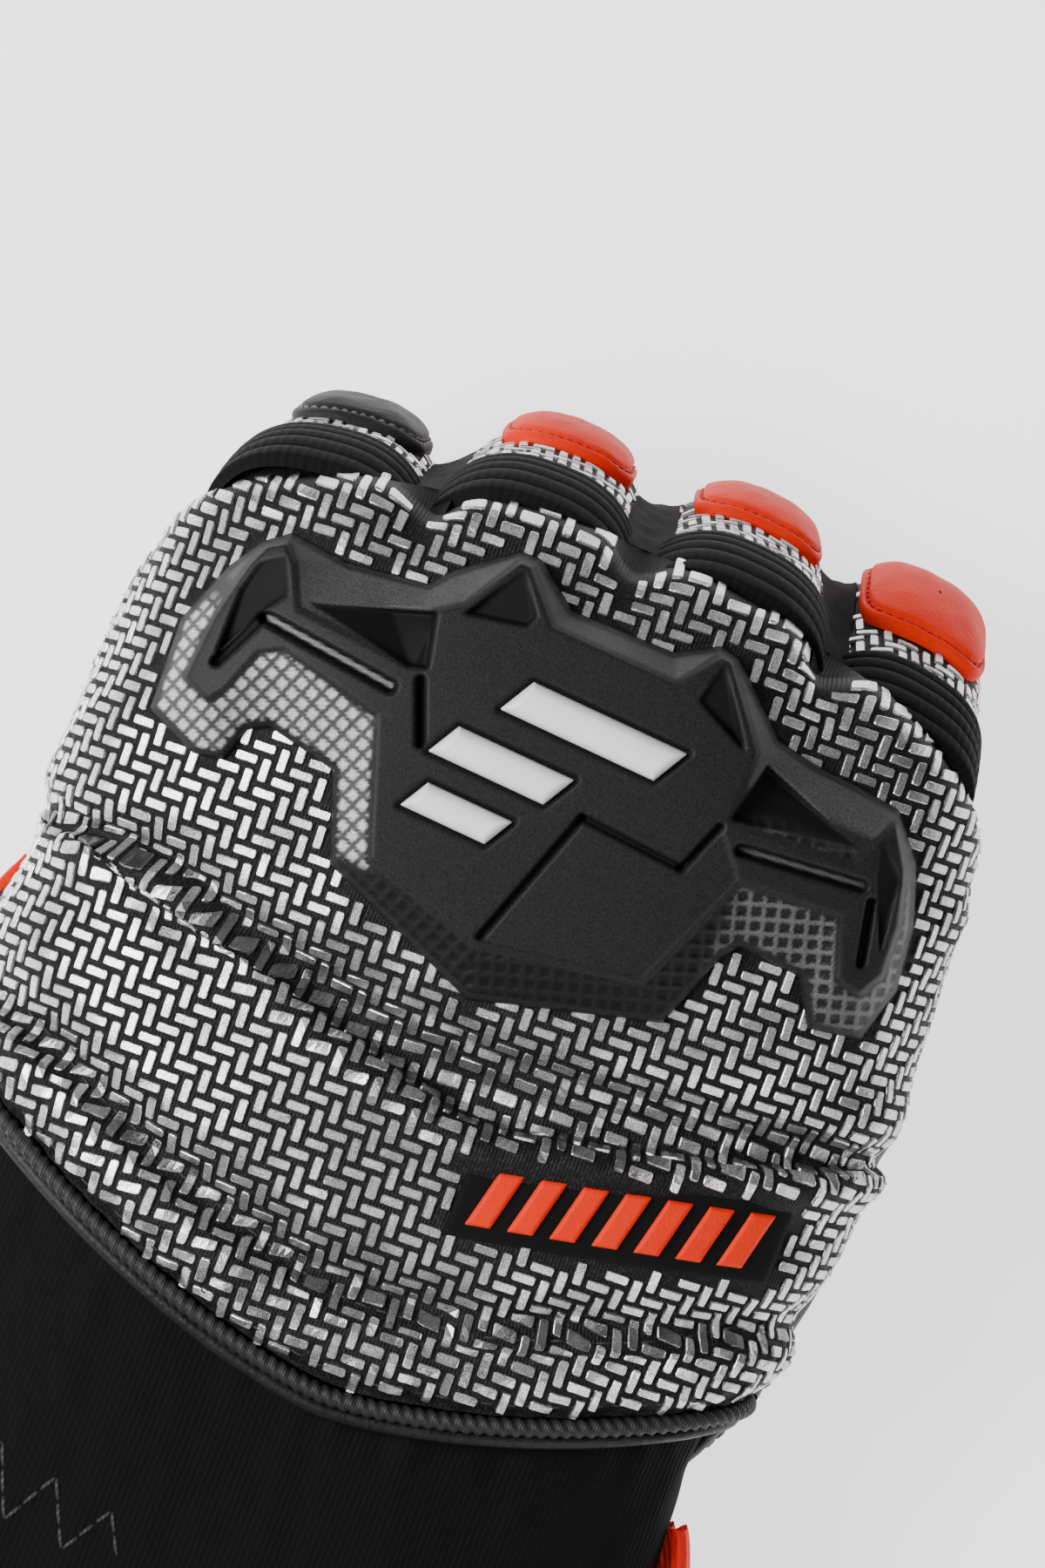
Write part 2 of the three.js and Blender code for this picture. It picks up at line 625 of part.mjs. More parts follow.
function guardSolid() {
  const feet = GUARD.map((row) => row.foot);
  const crowns = GUARD.map((row) => row.crown);
  const count = GUARD.length;
  const points = [];
  for (const [outline, height] of [[feet, 0], [feet, GUARD_EDGE], [crowns, GUARD_CROWN]]) {
    for (const [across, along] of outline) {
      points.push([across, along, height]);
    }
  }
  const triangles = [...flatFaces(feet, 0, false), ...flatFaces(crowns, 2 * count, true)];
  for (let layer = 0; layer < 2; layer += 1) {
    for (let k = 0; k < count; k += 1) {
      const a = layer * count + k;
      const b = layer * count + ((k + 1) % count);
      triangles.push([a, a + count, b + count], [a, b + count, b]);
    }
  }
  const fine = refined(points, triangles, GUARD_FACET);
  let guard = solidFromTriangles(fine.points, fine.triangles);
  for (const cut of GUARD_CUTS) {
    const across = cut.to[0] - cut.from[0];
    const along = cut.to[1] - cut.from[1];
    const place = new THREE.Matrix4().makeRotationZ(Math.atan2(along, across)).setPosition(
      (cut.from[0] + cut.to[0]) / 2,
      (cut.from[1] + cut.to[1]) / 2,
      GUARD_CROWN,
    );
    const length = Math.hypot(across, along) + cut.width;
    guard = guard.subtract(boxSolid(length, cut.width, 2 * SLOT_DEPTH, place));
  }
  const geometry = geometryOf(guard);
  const position = geometry.getAttribute("position");
  for (let vertex = 0; vertex < position.count; vertex += 1) {
    const level = backLevel(position.getX(vertex), position.getY(vertex));
    position.setZ(vertex, position.getZ(vertex) + level + GUARD_LIFT);
  }
  return solidOf(geometry);
}

// Straight slanted bar or label on the back of the hand, given by its middle, size, turn and slant
function barSolid(bar, low, high) {
  const turn = rad(bar.turn);
  const place = (p, q, height) => {
    const x = p * (bar.length / 2) + q * (bar.width / 2) * bar.slant;
    const y = q * (bar.width / 2);
    const across = bar.across + x * Math.cos(turn) - y * Math.sin(turn);
    const along = bar.along + x * Math.sin(turn) + y * Math.cos(turn);
    return backPoint(across, along, height);
  };
  const patch = { p0: -1, p1: 1, q0: -1, q1: 1, stepsP: bar.steps, stepsQ: 2 };
  return patchSolid(place, patch, () => low, () => high);
}

// Build the hand, fingers, thumb and cuff as one hollow skin and cut it where it is sewn
function everyStation(from, to, count) {
  const stations = [];
  for (let step = 0; step <= count; step += 1) {
    stations.push(lerp(from, to, step / count));
  }
  return stations;
}

const handStations = HAND.map((row) => row.along);
const handStart = handStations[0];
const handEnd = handStations.at(-1);
const handOuter = sleeveSolid(HAND, handStations, FACETS.hand.sides, 0);
const roomStations = [handStart - GAP, ...handStations.slice(1, -1), handEnd + GAP];
const handRoom = sleeveSolid(HAND, roomStations, FACETS.hand.sides, ROOM_GROWTH);
const handHollow = everyStation(handStart - OPEN_END, handEnd - HAND_WALL, FACETS.hand.innerRings);
const handInner = sleeveSolid(HAND, handHollow, FACETS.hand.innerSides, -HAND_WALL);
const cuffStations = CUFF.map((row) => row.along);
const cuffOuter = sleeveSolid(CUFF, cuffStations, FACETS.cuff.sides, 0);
const cuffEnds = [cuffStations[0] - OPEN_END, cuffStations.at(-1) + OPEN_END];
const cuffHollow = everyStation(cuffEnds[0], cuffEnds[1], FACETS.cuff.innerRings);
const cuffInner = sleeveSolid(CUFF, cuffHollow, FACETS.cuff.innerSides, -CUFF_WALL);
const thumbOuter = thumbSolid(0, FACETS.thumb.rings, FACETS.thumb.sides);
const thumbInner = thumbSolid(-FINGER_WALL, FACETS.thumb.innerRings, FACETS.thumb.innerSides);

// The resting pose, and what lies above the ground, seen from the frame of the hand
const pose = new THREE.Group();
pose.rotation.x = rad(PITCH_DEG);
pose.position.set(SHIFT_ACROSS, SHIFT_ALONG, LIFT);
pose.updateMatrix();

function aboveGround(height) {
  const place = new THREE.Matrix4().makeTranslation(0, 0, ROOM / 2 + height);
  return boxSolid(2 * ROOM, 2 * ROOM, ROOM, place.premultiply(pose.matrix.clone().invert()));
}
const ground = aboveGround(0);
const groundInside = aboveGround(SOLE_WALL);

function keep(name, solid, look) {
  const mesh = new THREE.Mesh(geometryOf(solid), new THREE.MeshStandardMaterial(LOOKS[look]));
  mesh.name = name;
  pose.add(mesh);
}

let handSkin = handOuter.subtract(handInner.intersect(groundInside));
for (const [name, finger] of Object.entries(FINGERS)) {
  const facets = FACETS.finger;
  const outer = fingerSolid(finger, 0, facets.rings, facets.sides);
  const hollow = fingerSolid(finger, -FINGER_WALL, facets.innerRings, facets.innerSides);
  const inner = hollow.intersect(groundInside);
  handSkin = handSkin.subtract(inner);
  const skin = outer.intersect(ground).subtract(inner).subtract(handRoom);
  keep(`finger_${name}_back`, skin.intersect(fingerBackRoom(finger, GAP / 2)), "silver");
  keep(`finger_${name}_front`, skin.subtract(fingerBackRoom(finger, -GAP / 2)), "leather");
}
handSkin = handSkin.subtract(thumbInner);
for (const [name, side, look] of [["hand_back", 1, "silver"], ["palm", -1, "leather"]]) {
  const middle = SIDE_SEAM + side * (ROOM + GAP) / 2;
  const half = boxSolid(2 * ROOM, 2 * ROOM, ROOM, new THREE.Matrix4().makeTranslation(0, 0, middle));
  keep(name, handSkin.intersect(half), look);
}

// Bands and pads of the fingers
function stepsOf({ stepsP, stepsQ }) {
  return { stepsP, stepsQ };
}

for (const [name, finger] of Object.entries(FINGERS)) {
  const place = (p, q, height) => fingerPoint(finger, p, rad(q), height);
  const band = { p0: BAND.from, p1: BAND.to, q0: BAND.turn0, q1: BAND.turn1, ...stepsOf(BAND) };
  const strip = patchSolid(place, band, () => TRIM_GAP, () => BAND.height);
  keep(`band_${name}`, strip.subtract(handRoom), "stretch");
  const middle = finger.proximal;
  const reach = { p0: middle - PAD.before, p1: middle + PAD.past };
  const pad = { ...reach, q0: PAD.turn0, q1: PAD.turn1, ...stepsOf(PAD) };
  const swell = (i, j) => (Math.min(i, 1 - i, j, 1 - j) > 0 ? PAD.crown : PAD.edge);
  const look = name === "index" ? "rubber" : "orange";
  keep(`pad_${name}`, patchSolid(place, pad, () => TRIM_GAP, swell), look);
}

// Thumb with its trim
const cuffRoom = sleeveSolid(CUFF, cuffStations, FACETS.cuff.sides, CUFF_ROOM);
const thumbSkin = thumbOuter.intersect(ground).subtract(thumbInner).subtract(handRoom);
keep("thumb", thumbSkin.subtract(cuffRoom), "leather");
const trim = {
  p0: THUMB_TRIM.from, p1: THUMB_TRIM.to, q0: THUMB_TRIM.turn0, q1: THUMB_TRIM.turn1,
  stepsP: THUMB_TRIM.steps, stepsQ: THUMB_TRIM.steps,
};
const trimPlace = (p, q, height) => thumbPoint(p, rad(q), height);
keep("thumb_trim", patchSolid(trimPlace, trim, () => GAP, () => THUMB_TRIM.height), "orange");

// Cuff, its piping and the pull tab
keep("cuff", cuffOuter.subtract(cuffInner.intersect(groundInside)).intersect(ground), "stretch");
const pipingRings = [];
for (let turn = 0; turn < PIPING.turns; turn += 1) {
  const angle = (turn / PIPING.turns) * 2 * Math.PI;
  const ring = [];
  for (let side = 0; side < PIPING.sides; side += 1) {
    const around = (side / PIPING.sides) * 2 * Math.PI;
    const along = PIPING.along + PIPING.radius * Math.cos(around);
    const grow = PIPING.inset + PIPING.radius * Math.sin(around);
    ring.push(sleevePoint(HAND, along, angle, grow));
  }
  pipingRings.push(ring);
}
keep("piping", solidFromRings(pipingRings, true).subtract(thumbOuter), "stretch");
const tabPlace = (p, q, height) => sleevePoint(CUFF, p, rad(q), height);
const tabPatch = {
  p0: TAB.to, p1: TAB.from, q0: -TAB.halfAngle, q1: TAB.halfAngle, ...stepsOf(TAB),
};
const tabLow = (i) => GAP + TAB.bulge * Math.pow(Math.sin(Math.PI * i), TAB_POWER);
const tabHigh = (i) => tabLow(i) + TAB.thickness;
keep("pull_tab", patchSolid(tabPlace, tabPatch, tabLow, tabHigh), "orange");

// Knuckle guard, its stripes and the wrist badge
keep("knuckle_guard", guardSolid(), "rubber");
const crownLevel = GUARD_LIFT + GUARD_CROWN;
STRIPES.forEach((stripe, index) => {
  const solid = barSolid({ ...stripe, ...STRIPE }, crownLevel + GAP, crownLevel + STRIPE.height);
  keep(`guard_stripe_${index + 1}`, solid, "white");
});
keep("badge_base", barSolid(BADGE, BADGE_HEIGHT.low, BADGE_HEIGHT.high), "stretch");
for (let index = 0; index < BADGE_BARS.count; index += 1) {
  const offset = (index - (BADGE_BARS.count - 1) / 2) * BADGE_BARS.pitch;
  const bar = {
    across: BADGE.across + offset * Math.cos(rad(BADGE.turn)),
    along: BADGE.along + offset * Math.sin(rad(BADGE.turn)),
    length: BADGE_BARS.length, width: BADGE_BARS.width, slant: BADGE_BARS.slant,
    turn: BADGE.turn, steps: 2,
  };
  keep(`badge_bar_${index + 1}`, barSolid(bar, BADGE_BARS.low, BADGE_BARS.high), "orange");
}

const group = new THREE.Group();
group.name = "ski_racing_glove";
group.add(pose);

export default group;
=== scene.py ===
import math
import bpy
import numpy as np
from mathutils import Matrix, Vector


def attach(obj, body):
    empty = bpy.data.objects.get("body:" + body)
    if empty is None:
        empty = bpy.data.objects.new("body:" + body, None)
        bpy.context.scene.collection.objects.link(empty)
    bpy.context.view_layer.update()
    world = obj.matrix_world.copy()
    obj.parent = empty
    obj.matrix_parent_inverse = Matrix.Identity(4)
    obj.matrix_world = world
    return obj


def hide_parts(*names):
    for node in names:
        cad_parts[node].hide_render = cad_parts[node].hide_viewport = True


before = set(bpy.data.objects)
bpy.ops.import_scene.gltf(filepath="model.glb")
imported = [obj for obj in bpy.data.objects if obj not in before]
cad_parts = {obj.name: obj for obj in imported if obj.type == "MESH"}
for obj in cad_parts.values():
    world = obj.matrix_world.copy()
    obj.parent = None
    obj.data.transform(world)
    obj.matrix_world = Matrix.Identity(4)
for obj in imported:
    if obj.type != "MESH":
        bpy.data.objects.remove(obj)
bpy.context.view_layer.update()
rng = np.random.default_rng(7)

# Surfaces are worked out in the frame of the hand, in millimetres: across (towards the little
# finger), along (towards the fingers) and level (out of the back of the hand).
PITCH = math.radians(9)
SHIFT = np.array([1.95, 43.1, 50.8])


def row_frame(points):
    """Points of the hand frame in the row frame, in metres, none of them below the ground."""
    points = np.asarray(points, dtype=float)
    along = points[..., 1]
    level = points[..., 2]
    y = along * math.cos(PITCH) - level * math.sin(PITCH)
    z = along * math.sin(PITCH) + level * math.cos(PITCH)
    placed = (np.stack([points[..., 0], y, z], -1) + SHIFT) / 1000
    placed[..., 2] = np.maximum(placed[..., 2], 0.0001)
    return placed


# Helpers for tables and curves
def table(columns, *rows):
    return {name: np.array(values, dtype=float) for name, values in zip(columns.split(), zip(*rows))}


def ease(value, start, end):
    share = np.clip((value - start) / (end - start), 0, 1)
    return share * share * (3 - 2 * share)


def signed_power(value, power):
    return np.sign(value) * np.abs(value) ** power


def smooth(rows, key, value, name):
    """A column of a table read at any place along its key, on a smooth curve through its rows."""
    x = rows[key]
    y = rows[name]
    slope = np.gradient(y, x)
    low = np.clip(np.searchsorted(x, value) - 1, 0, len(x) - 2)
    span = x[low + 1] - x[low]
    t = np.clip((value - x[low]) / span, 0, 1)
    start = (1 + 2 * t) * (1 - t) ** 2 * y[low] + t * (1 - t) ** 2 * span * slope[low]
    return start + t * t * (3 - 2 * t) * y[low + 1] + t * t * (t - 1) * span * slope[low + 1]


def read(rows, key, value, *names):
    """Several columns of a table read at the same place."""
    return [smooth(rows, key, value, name) for name in names]


def between(values, row, column):
    """Values of a grid read between its rows and columns, which are counted from 0."""
    row = np.clip(row, 0, values.shape[0] - 1.001)
    column = np.clip(column, 0, values.shape[1] - 1.001)
    i = row.astype(int)
    j = column.astype(int)
    a = row - i
    b = column - j
    if values.ndim > 2:
        a = a[..., None]
        b = b[..., None]
    first = values[i, j] * (1 - b) + values[i, j + 1] * b
    second = values[i + 1, j] * (1 - b) + values[i + 1, j + 1] * b
    return first * (1 - a) + second * a


def bump(value, centre, width):
    return np.exp(-(((value - centre) / width) ** 2))


def circle(count):
    """Angles once around, the last one short of the first."""
    return np.linspace(0, 2 * math.pi, count + 1)[:-1]


def spread(p, q):
    return np.meshgrid(p, q, indexing="ij")


def grid(p0, p1, rows, q0, q1, columns):
    return spread(np.linspace(p0, p1, rows), np.linspace(q0, q1, columns))


def run_along(x, y):
    """Length of the line through the points (x, y), up to each of them."""
    return np.concatenate([[0], np.cumsum(np.hypot(np.diff(x), np.diff(y)))])


def unit(vectors):
    return vectors / np.maximum(np.linalg.norm(vectors, axis=-1, keepdims=True), 1e-9)


def raised(surface, p, q, height):
    """Points that stand off a surface(p, q) by a height along its normal."""
    step = 0.05
    here = surface(p, q)
    normal = unit(np.cross(surface(p + step, q) - here, surface(p, q + step) - here))
    return here + normal * (height + 0.0 * p)[..., None]


def rounded(edge, reach):
    """Share of the full height, from 0 to 1, at a distance from an edge that is rounded over a reach."""
    return np.sqrt(np.clip(1 - (1 - np.clip(edge / reach, 0, 1)) ** 2, 0, 1))


def waves(p, q, count, short, long, seed):
    """Soft irregular waves between -1 and 1, with wavelengths from short to long."""
    source = np.random.default_rng(seed)
    total = 0
    for _ in range(count):
        turn = source.uniform(0, math.pi)
        length = source.uniform(short, long)
        phase = source.uniform(0, 2 * math.pi)
        total = total + np.sin(2 * math.pi * (p * math.cos(turn) + q * math.sin(turn)) / length + phase)
    return total / math.sqrt(count) * 0.7


# Sections of the hand and the cuff, as in the CAD model
HAND = table(
    "along half top bottom power",
    (-76, 54.2, 23.6, 24.4, 2.6),
    (-71, 54.8, 24.8, 24.6, 2.6),
    (-67, 55.2, 23.7, 24.6, 2.6),
    (-63, 56.0, 25.5, 24.6, 2.65),
    (-52, 56.6, 26.6, 24.6, 2.7),
    (-41, 56.6, 26.6, 24.4, 2.7),
    (-36, 56.2, 24.9, 24.2, 2.7),
    (-31, 56.4, 27.0, 24.0, 2.75),
    (-20, 56.2, 27.8, 23.4, 2.8),
    (-5, 55.8, 28.0, 22.4, 2.8),
    (8, 55.2, 27.8, 21.0, 2.8),
    (17, 54.2, 26.2, 19.0, 2.8),
    (24, 52.4, 22.4, 16.0, 2.7),
    (27.5, 48.5, 16.5, 12.0, 2.5),
)
CUFF = table(
    "along half top bottom power",
    (-134, 54.6, 24.5, 33.5, 2.4),
    (-131, 54.8, 24.7, 33.7, 2.4),
    (-127, 53.6, 23.6, 32.4, 2.4),
    (-112, 52.2, 22.4, 29.4, 2.4),
    (-96, 50.6, 21.4, 26.6, 2.4),
    (-84, 49.2, 20.6, 24.0, 2.45),
    (-78, 49.6, 20.2, 21.4, 2.5),
    (-72, 50.0, 20.0, 21.2, 2.55),
    (-68, 50.2, 19.9, 21.2, 2.6),
)
HAND_EDGE, HAND_FRONT = HAND["along"][[0, -1]]
WAIST = {"side": 4, "reach": 50, "power": 1.55}
ROOTS = {"rise": 6.5, "reach": 44, "shear": 0.34, "line": 24}


def bend_along(along, across, sine):
    under = 1 - 0.85 * ease(-sine, 0, 0.7)
    droop = 16 * ease(-along, 6, 62) * (1 - ease(-along, 84, 118))
    waist = np.abs((across - WAIST["side"]) / WAIST["reach"]) ** WAIST["power"]
    rise = ROOTS["rise"] * ease(along, -6, 24)
    return droop * waist * under + rise * (1 - (across / ROOTS["reach"]) ** 2)


def section(rows, station, angle):
    """Across and level on the section at a station."""
    half, top, bottom, power = read(rows, "along", station, "half", "top", "bottom", "power")
    sine = np.sin(angle)
    depth = np.where(sine >= 0, top, bottom)
    return half * signed_power(np.cos(angle), 2 / power), depth * signed_power(sine, 2 / power)


class Sleeve:
    """A sleeve of sections, read by its station and the arc length around it from its top line."""

    def __init__(self, rows):
        self.rows = rows
        self.stations = np.linspace(rows["along"][0], rows["along"][-1], 90)
        half_turn = np.linspace(0, math.pi, 721)
        shares = np.linspace(-1, 1, 401)
        half_girth = []
        angles = []
        for station in self.stations:
            angle_at = []
            girths = []
            for side in (-1, 1):
                angle = math.pi / 2 - side * half_turn
                across, level = section(rows, np.full_like(angle, station), angle)
                arc = run_along(across, level)
                girths.append(arc[-1])
                angle_at.append(np.interp(np.abs(shares) * arc[-1], arc, angle))
            half_girth.append(np.mean(girths))
            angles.append(np.where(shares < 0, angle_at[0], angle_at[1]))
        self.half_girth = np.array(half_girth)
        self.angles = np.array(angles)

    def girth(self, station):
        """Arc length from the top line to the bottom line."""
        return np.interp(station, self.stations, self.half_girth)

    def angle(self, station, arc):
        """Angle at an arc length from the top line, positive towards the little finger."""
        share = np.clip(arc / self.girth(station), -1, 1)
        row = (station - self.stations[0]) / (self.stations[1] - self.stations[0])
        column = (share + 1) / 2 * (self.angles.shape[1] - 1)
        return between(self.angles, row, column)

    def point(self, arc, station):
        angle = self.angle(station, arc)
        across, level = section(self.rows, station, angle)
        shear = ROOTS["shear"] * ease(station, 0, 24) * (ROOTS["line"] - level)
        along = station + bend_along(station, across, np.sin(angle)) - shear
        return np.stack([across, along, level], -1)

    def station(self, arc, along):
        """Station of the point at an arc length and a place along the hand."""
        station = np.array(along, dtype=float)
        for _ in range(36):
            point = self.point(arc, station)
            station = station + (along - point[..., 1]) * 0.45
        return station


hand = Sleeve(HAND)
cuff = Sleeve(CUFF)

# Relief of the back panel: fold, lower seam, soft edge, small creases, valleys between the finger roots
SIDE_SEAM = -2.2
WEBS = (-24.3, 1.4, 27.6)
FOLD = table(
    "arc station",
    (-66, -38.0),
    (-53, -36.0),
    (-45, -32.4),
    (-37, -29.8),
    (-26, -32.4),
    (-15, -34.8),
    (-7, -36.2),
    (2, -37.8),
    (10, -38.8),
    (24, -38.5),
    (40, -38.0),
    (66, -38.2),
)
SEAM = table(
    "arc station",
    (-66, -68.0),
    (-50, -66.6),
    (-37, -64.6),
    (-22, -65.4),
    (-8, -64.8),
    (12, -63.9),
    (33, -63.9),
    (50, -65.2),
    (66, -66.5),
)


def rolled(distance, depth, height, flank, reach):
    """A valley on the side of the fingers and a puffed ridge on the side of the wrist."""
    valley_reach = np.where(distance > 0, reach * 1.3, flank)
    ridge_reach = np.where(distance < -flank, reach, flank * 0.6)
    return height * bump(distance, -flank, ridge_reach) - depth * bump(distance, 0, valley_reach)


def from_valleys(arc, station):
    """How far a place lies past the fold and past the lower seam, towards the fingers."""
    return [station - smooth(line, "arc", arc, "station") for line in (FOLD, SEAM)]


def back_relief(arc, station):
    ragged = 0.35 * waves(arc, 0 * arc, 6, 14, 40, 3)
    jagged = 0.35 * waves(arc, station, 8, 4, 9, 13)
    from_fold, from_seam = from_valleys(arc, station)
    deep = 1 + 0.3 * waves(arc, 0 * arc, 5, 10, 24, 14)
    middle = 1 - 0.8 * ease(-arc, 44, 58) - 0.35 * ease(arc, 48, 62)
    fold = rolled(from_fold + ragged + 0.4 * jagged, 2.1 * deep, 2.3, 2.8, 4.6) * middle
    second = rolled(from_fold - 6.5 + ragged, 0.7, 0.5, 1.8, 2.6) * bump(arc, 14, 22)
    seam = rolled(from_seam + ragged + 0.4 * jagged, 1.7 * deep, 1.5, 2.5, 3.4) * middle
    creases = waves(arc, station, 9, 9, 24, 11) * 0.26
    near = bump(from_fold, -2, 4) + bump(from_seam, -2, 4) + 0.8 * ease(np.abs(arc), 46, 66)
    small = waves(arc, station, 8, 2.4, 5, 12) * 0.2 * np.clip(near, 0, 1.2)
    hem = waves(arc, station, 8, 2.2, 5, 15) * 0.24 * ease(-station, 69.5, 73)
    edge = -1.0 * ease(-station, 73.4, 76)
    dips = sum(bump(arc, web, 3.6) for web in WEBS)
    roots = (0.5 - 3.4 * dips) * ease(station, 13, 24)
    return fold + second + seam + creases + small + hem + edge + roots


def side_shift(arc, station):
    """Below the knuckles the hand leans a little to the side of the little finger."""
    side = ease(np.abs(arc), 46, 62) * (1 - ease(np.abs(arc), 84, 104))
    return np.where(arc < 0, -2.1 * bump(station, -46, 12), 1.4 * bump(station, -30, 12)) * side


def hand_point(arc, station):
    relief = back_relief(arc, station) * ease(-np.abs(arc), -92, -66)
    return raised(hand.point, arc, station, relief + side_shift(arc, station))


# The back panel read by arc length and place along the hand, through a fine lookup of its surface
LOOK_STEP = 0.5
LOOK_ARC = np.arange(-96, 96.1, LOOK_STEP)
LOOK_ALONG = np.arange(-84, 44.1, LOOK_STEP)
look_arc, look_along = spread(LOOK_ARC, LOOK_ALONG)
look_station = hand.station(look_arc, look_along)
look_points = hand_point(look_arc, look_station)


def looked_up(values, arc, along):
    return between(values, (arc - LOOK_ARC[0]) / LOOK_STEP, (along - LOOK_ALONG[0]) / LOOK_STEP)


def back_panel_point(arc, along):
    return looked_up(look_points, arc, along)


def back_level(across, along):
    """Level of the smooth back over a place across and along it."""
    station = np.array(along, dtype=float)
    level = 0 * station
    for _ in range(10):
        half, top, power = read(HAND, "along", station, "half", "top", "power")
        share = np.clip(np.abs(across) / half, 0, 0.995)
        level = top * (1 - share ** power) ** (1 / power)
        shear = ROOTS["shear"] * ease(station, 0, 24) * (ROOTS["line"] - level)
        station = along - bend_along(station, across, 0.5) + shear
    return level


# Making pieces
def grid_faces(rows, columns, wrap=False):
    last = columns if wrap else columns - 1
    i, j = spread(np.arange(rows - 1), np.arange(last))
    a = i * columns + j
    b = i * columns + (j + 1) % columns
    return np.stack([a, b, b + columns, a + columns], -1).reshape(-1, 4)


def outward(points, faces):
    """The faces turned so that they look away from the middle of the piece."""
    corners = points[np.array([face[:3] for face in faces])]
    normal = np.cross(corners[:, 1] - corners[:, 0], corners[:, 2] - corners[:, 0])
    away = corners.mean(axis=1) - points.mean(axis=0)
    if np.sum(normal * away) < 0:
        return [face[::-1] for face in faces]
    return faces


def add_object(name, data):
    made = bpy.data.objects.new(name, data)
    bpy.context.scene.collection.objects.link(made)
    return made


def piece(
    name, points, faces, materials, nodes=(), smooth_faces=True, uv=None, kinds=None, tone=None,
):
    """A mesh object in the row frame, which rides on the one body and may stand for CAD nodes."""
    points = row_frame(np.asarray(points).reshape(-1, 3))
    mesh = bpy.data.meshes.new(name)
    faces = [list(map(int, face)) for face in faces]
    mesh.from_pydata(points.tolist(), [], faces)
    for material in materials:
        mesh.materials.append(material)
    mesh.polygons.foreach_set("use_smooth", [smooth_faces] * len(mesh.polygons))
    if kinds is not None:
        mesh.polygons.foreach_set("material_index", [int(kind) for kind in kinds])
    if uv is not None:
        loops = np.empty(len(mesh.loops), dtype=int)
        mesh.loops.foreach_get("vertex_index", loops)
        layer = mesh.uv_layers.new(name="cloth")
        layer.data.foreach_set("uv", np.stack(uv, -1).reshape(-1, 2)[loops].ravel() / 1000)
    if tone is not None:
        layer = mesh.attributes.new("tone", "FLOAT", "POINT")
        layer.data.foreach_set("value", np.asarray(tone, dtype=float).ravel())
    mesh.update()
    made = add_object(name, mesh)
    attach(made, "root")
    if nodes:
        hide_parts(*nodes)
    return made


def surface_piece(name, points, materials, nodes=(), uv=None, wrap=False):
    """A piece from a grid of points."""
    flat = points.reshape(-1, 3)
    faces = outward(flat, grid_faces(*points.shape[:2], wrap))
    return piece(name, flat, faces, materials, nodes, uv=uv)


# Materials
def put(node, **values):
    """Constant values on a node's inputs, whose names are written with underscores for spaces."""
    for name, value in values.items():
        node.inputs[name.replace("_", " ")].default_value = value


class Shader:
    """A principled material with a short way to add nodes to it."""

    def __init__(self, name, color, roughness, metallic=0.0, specular=0.5):
        self.material = bpy.data.materials.new(name)
        self.material.use_nodes = True
        self.tree = self.material.node_tree
        self.shader = self.tree.nodes["Principled BSDF"]
        put(
            self.shader, Base_Color=(*color, 1), Roughness=roughness, Metallic=metallic,
            Specular_IOR_Level=specular,
        )
        self.normal = None

    def add(self, kind, **values):
        node = self.tree.nodes.new(kind)
        for name, value in values.items():
            setattr(node, name, value)
        return node

    def link(self, start, end):
        self.tree.links.new(start, end)

    def place(self, kind):
        """Coordinates of the cloth (from its own layout) or of the object, in metres."""
        if kind == "UV":
            return self.add("ShaderNodeUVMap", uv_map="cloth").outputs["UV"]
        return self.add("ShaderNodeTexCoord").outputs["Object"]

    def texture(self, kind, scale, where="Object", output="Fac", stretch=None, **inputs):
        node = self.add(kind)
        source = self.place(where)
        if stretch is not None:
            mapping = self.add("ShaderNodeMapping")
            put(mapping, Scale=stretch)
            self.link(source, mapping.inputs["Vector"])
            source = mapping.outputs["Vector"]
        self.link(source, node.inputs["Vector"])
        put(node, Scale=scale, **inputs)
        return node.outputs[output]

    def levels(self, source, low, high, start=0.0, end=1.0):
        node = self.add("ShaderNodeMapRange")
        self.link(source, node.inputs["Value"])
        put(node, From_Min=start, From_Max=end, To_Min=low, To_Max=high)
        return node.outputs["Result"]

    def tone(self):
        """The tone that the points of the mesh carry: painted shade on the printed blocks, and on the
        guard print colour with painted shade and painted highlights.
        """
        return self.add("ShaderNodeAttribute", attribute_name="tone").outputs["Fac"]

    def mix(self, factor, first, second, kind="MIX"):
        """A colour between two or their product; each is a colour or an output, as the factor may be."""
        node = self.add("ShaderNodeMix", data_type="RGBA", blend_type=kind)
        for index, value in ((0, factor), (6, first), (7, second)):
            if isinstance(value, bpy.types.NodeSocket):
                self.link(value, node.inputs[index])
            else:
                node.inputs[index].default_value = (*value, 1) if isinstance(value, tuple) else value
        return node.outputs[2]

    def blend(self, source, start, end, first, second):
        """From the first colour at the start of a source's range to the second at its end."""
        return self.mix(self.levels(source, 0, 1, start, end), first, second)

    def color(self, source):
        self.link(source, self.shader.inputs["Base Color"])

    def glow(self, source, strength):
        """Fluorescence of the orange, given as a painted glow: the colour also gives off a little light
        of its own, whatever the lamps.
        """
        self.color(source)
        self.link(source, self.shader.inputs["Emission Color"])
        put(self.shader, Emission_Strength=strength)

    def roughness(self, source):
        self.link(source, self.shader.inputs["Roughness"])

    def relief(self, source, distance, strength):
        """Bump in metres, laid over any bump that came before it."""
        node = self.add("ShaderNodeBump")
        put(node, Distance=distance, Strength=strength)
        self.link(source, node.inputs["Height"])
        if self.normal is not None:
            self.link(self.normal, node.inputs["Normal"])
        self.normal = node.outputs["Normal"]
        self.link(self.normal, self.shader.inputs["Normal"])


# A wave texture of this scale has one wave to a unit
WAVE_TURN = 6.283


def noise(shader, scale, detail=3.0):
    return shader.texture("ShaderNodeTexNoise", scale, Detail=detail, Roughness=0.6)


def wave(shader, scale, where, distortion):
    return shader.texture("ShaderNodeTexWave", scale, where, Distortion=distortion)


def cells(shader, scale, where="Object", stretch=None):
    return shader.texture("ShaderNodeTexVoronoi", scale, where, "Distance", stretch)


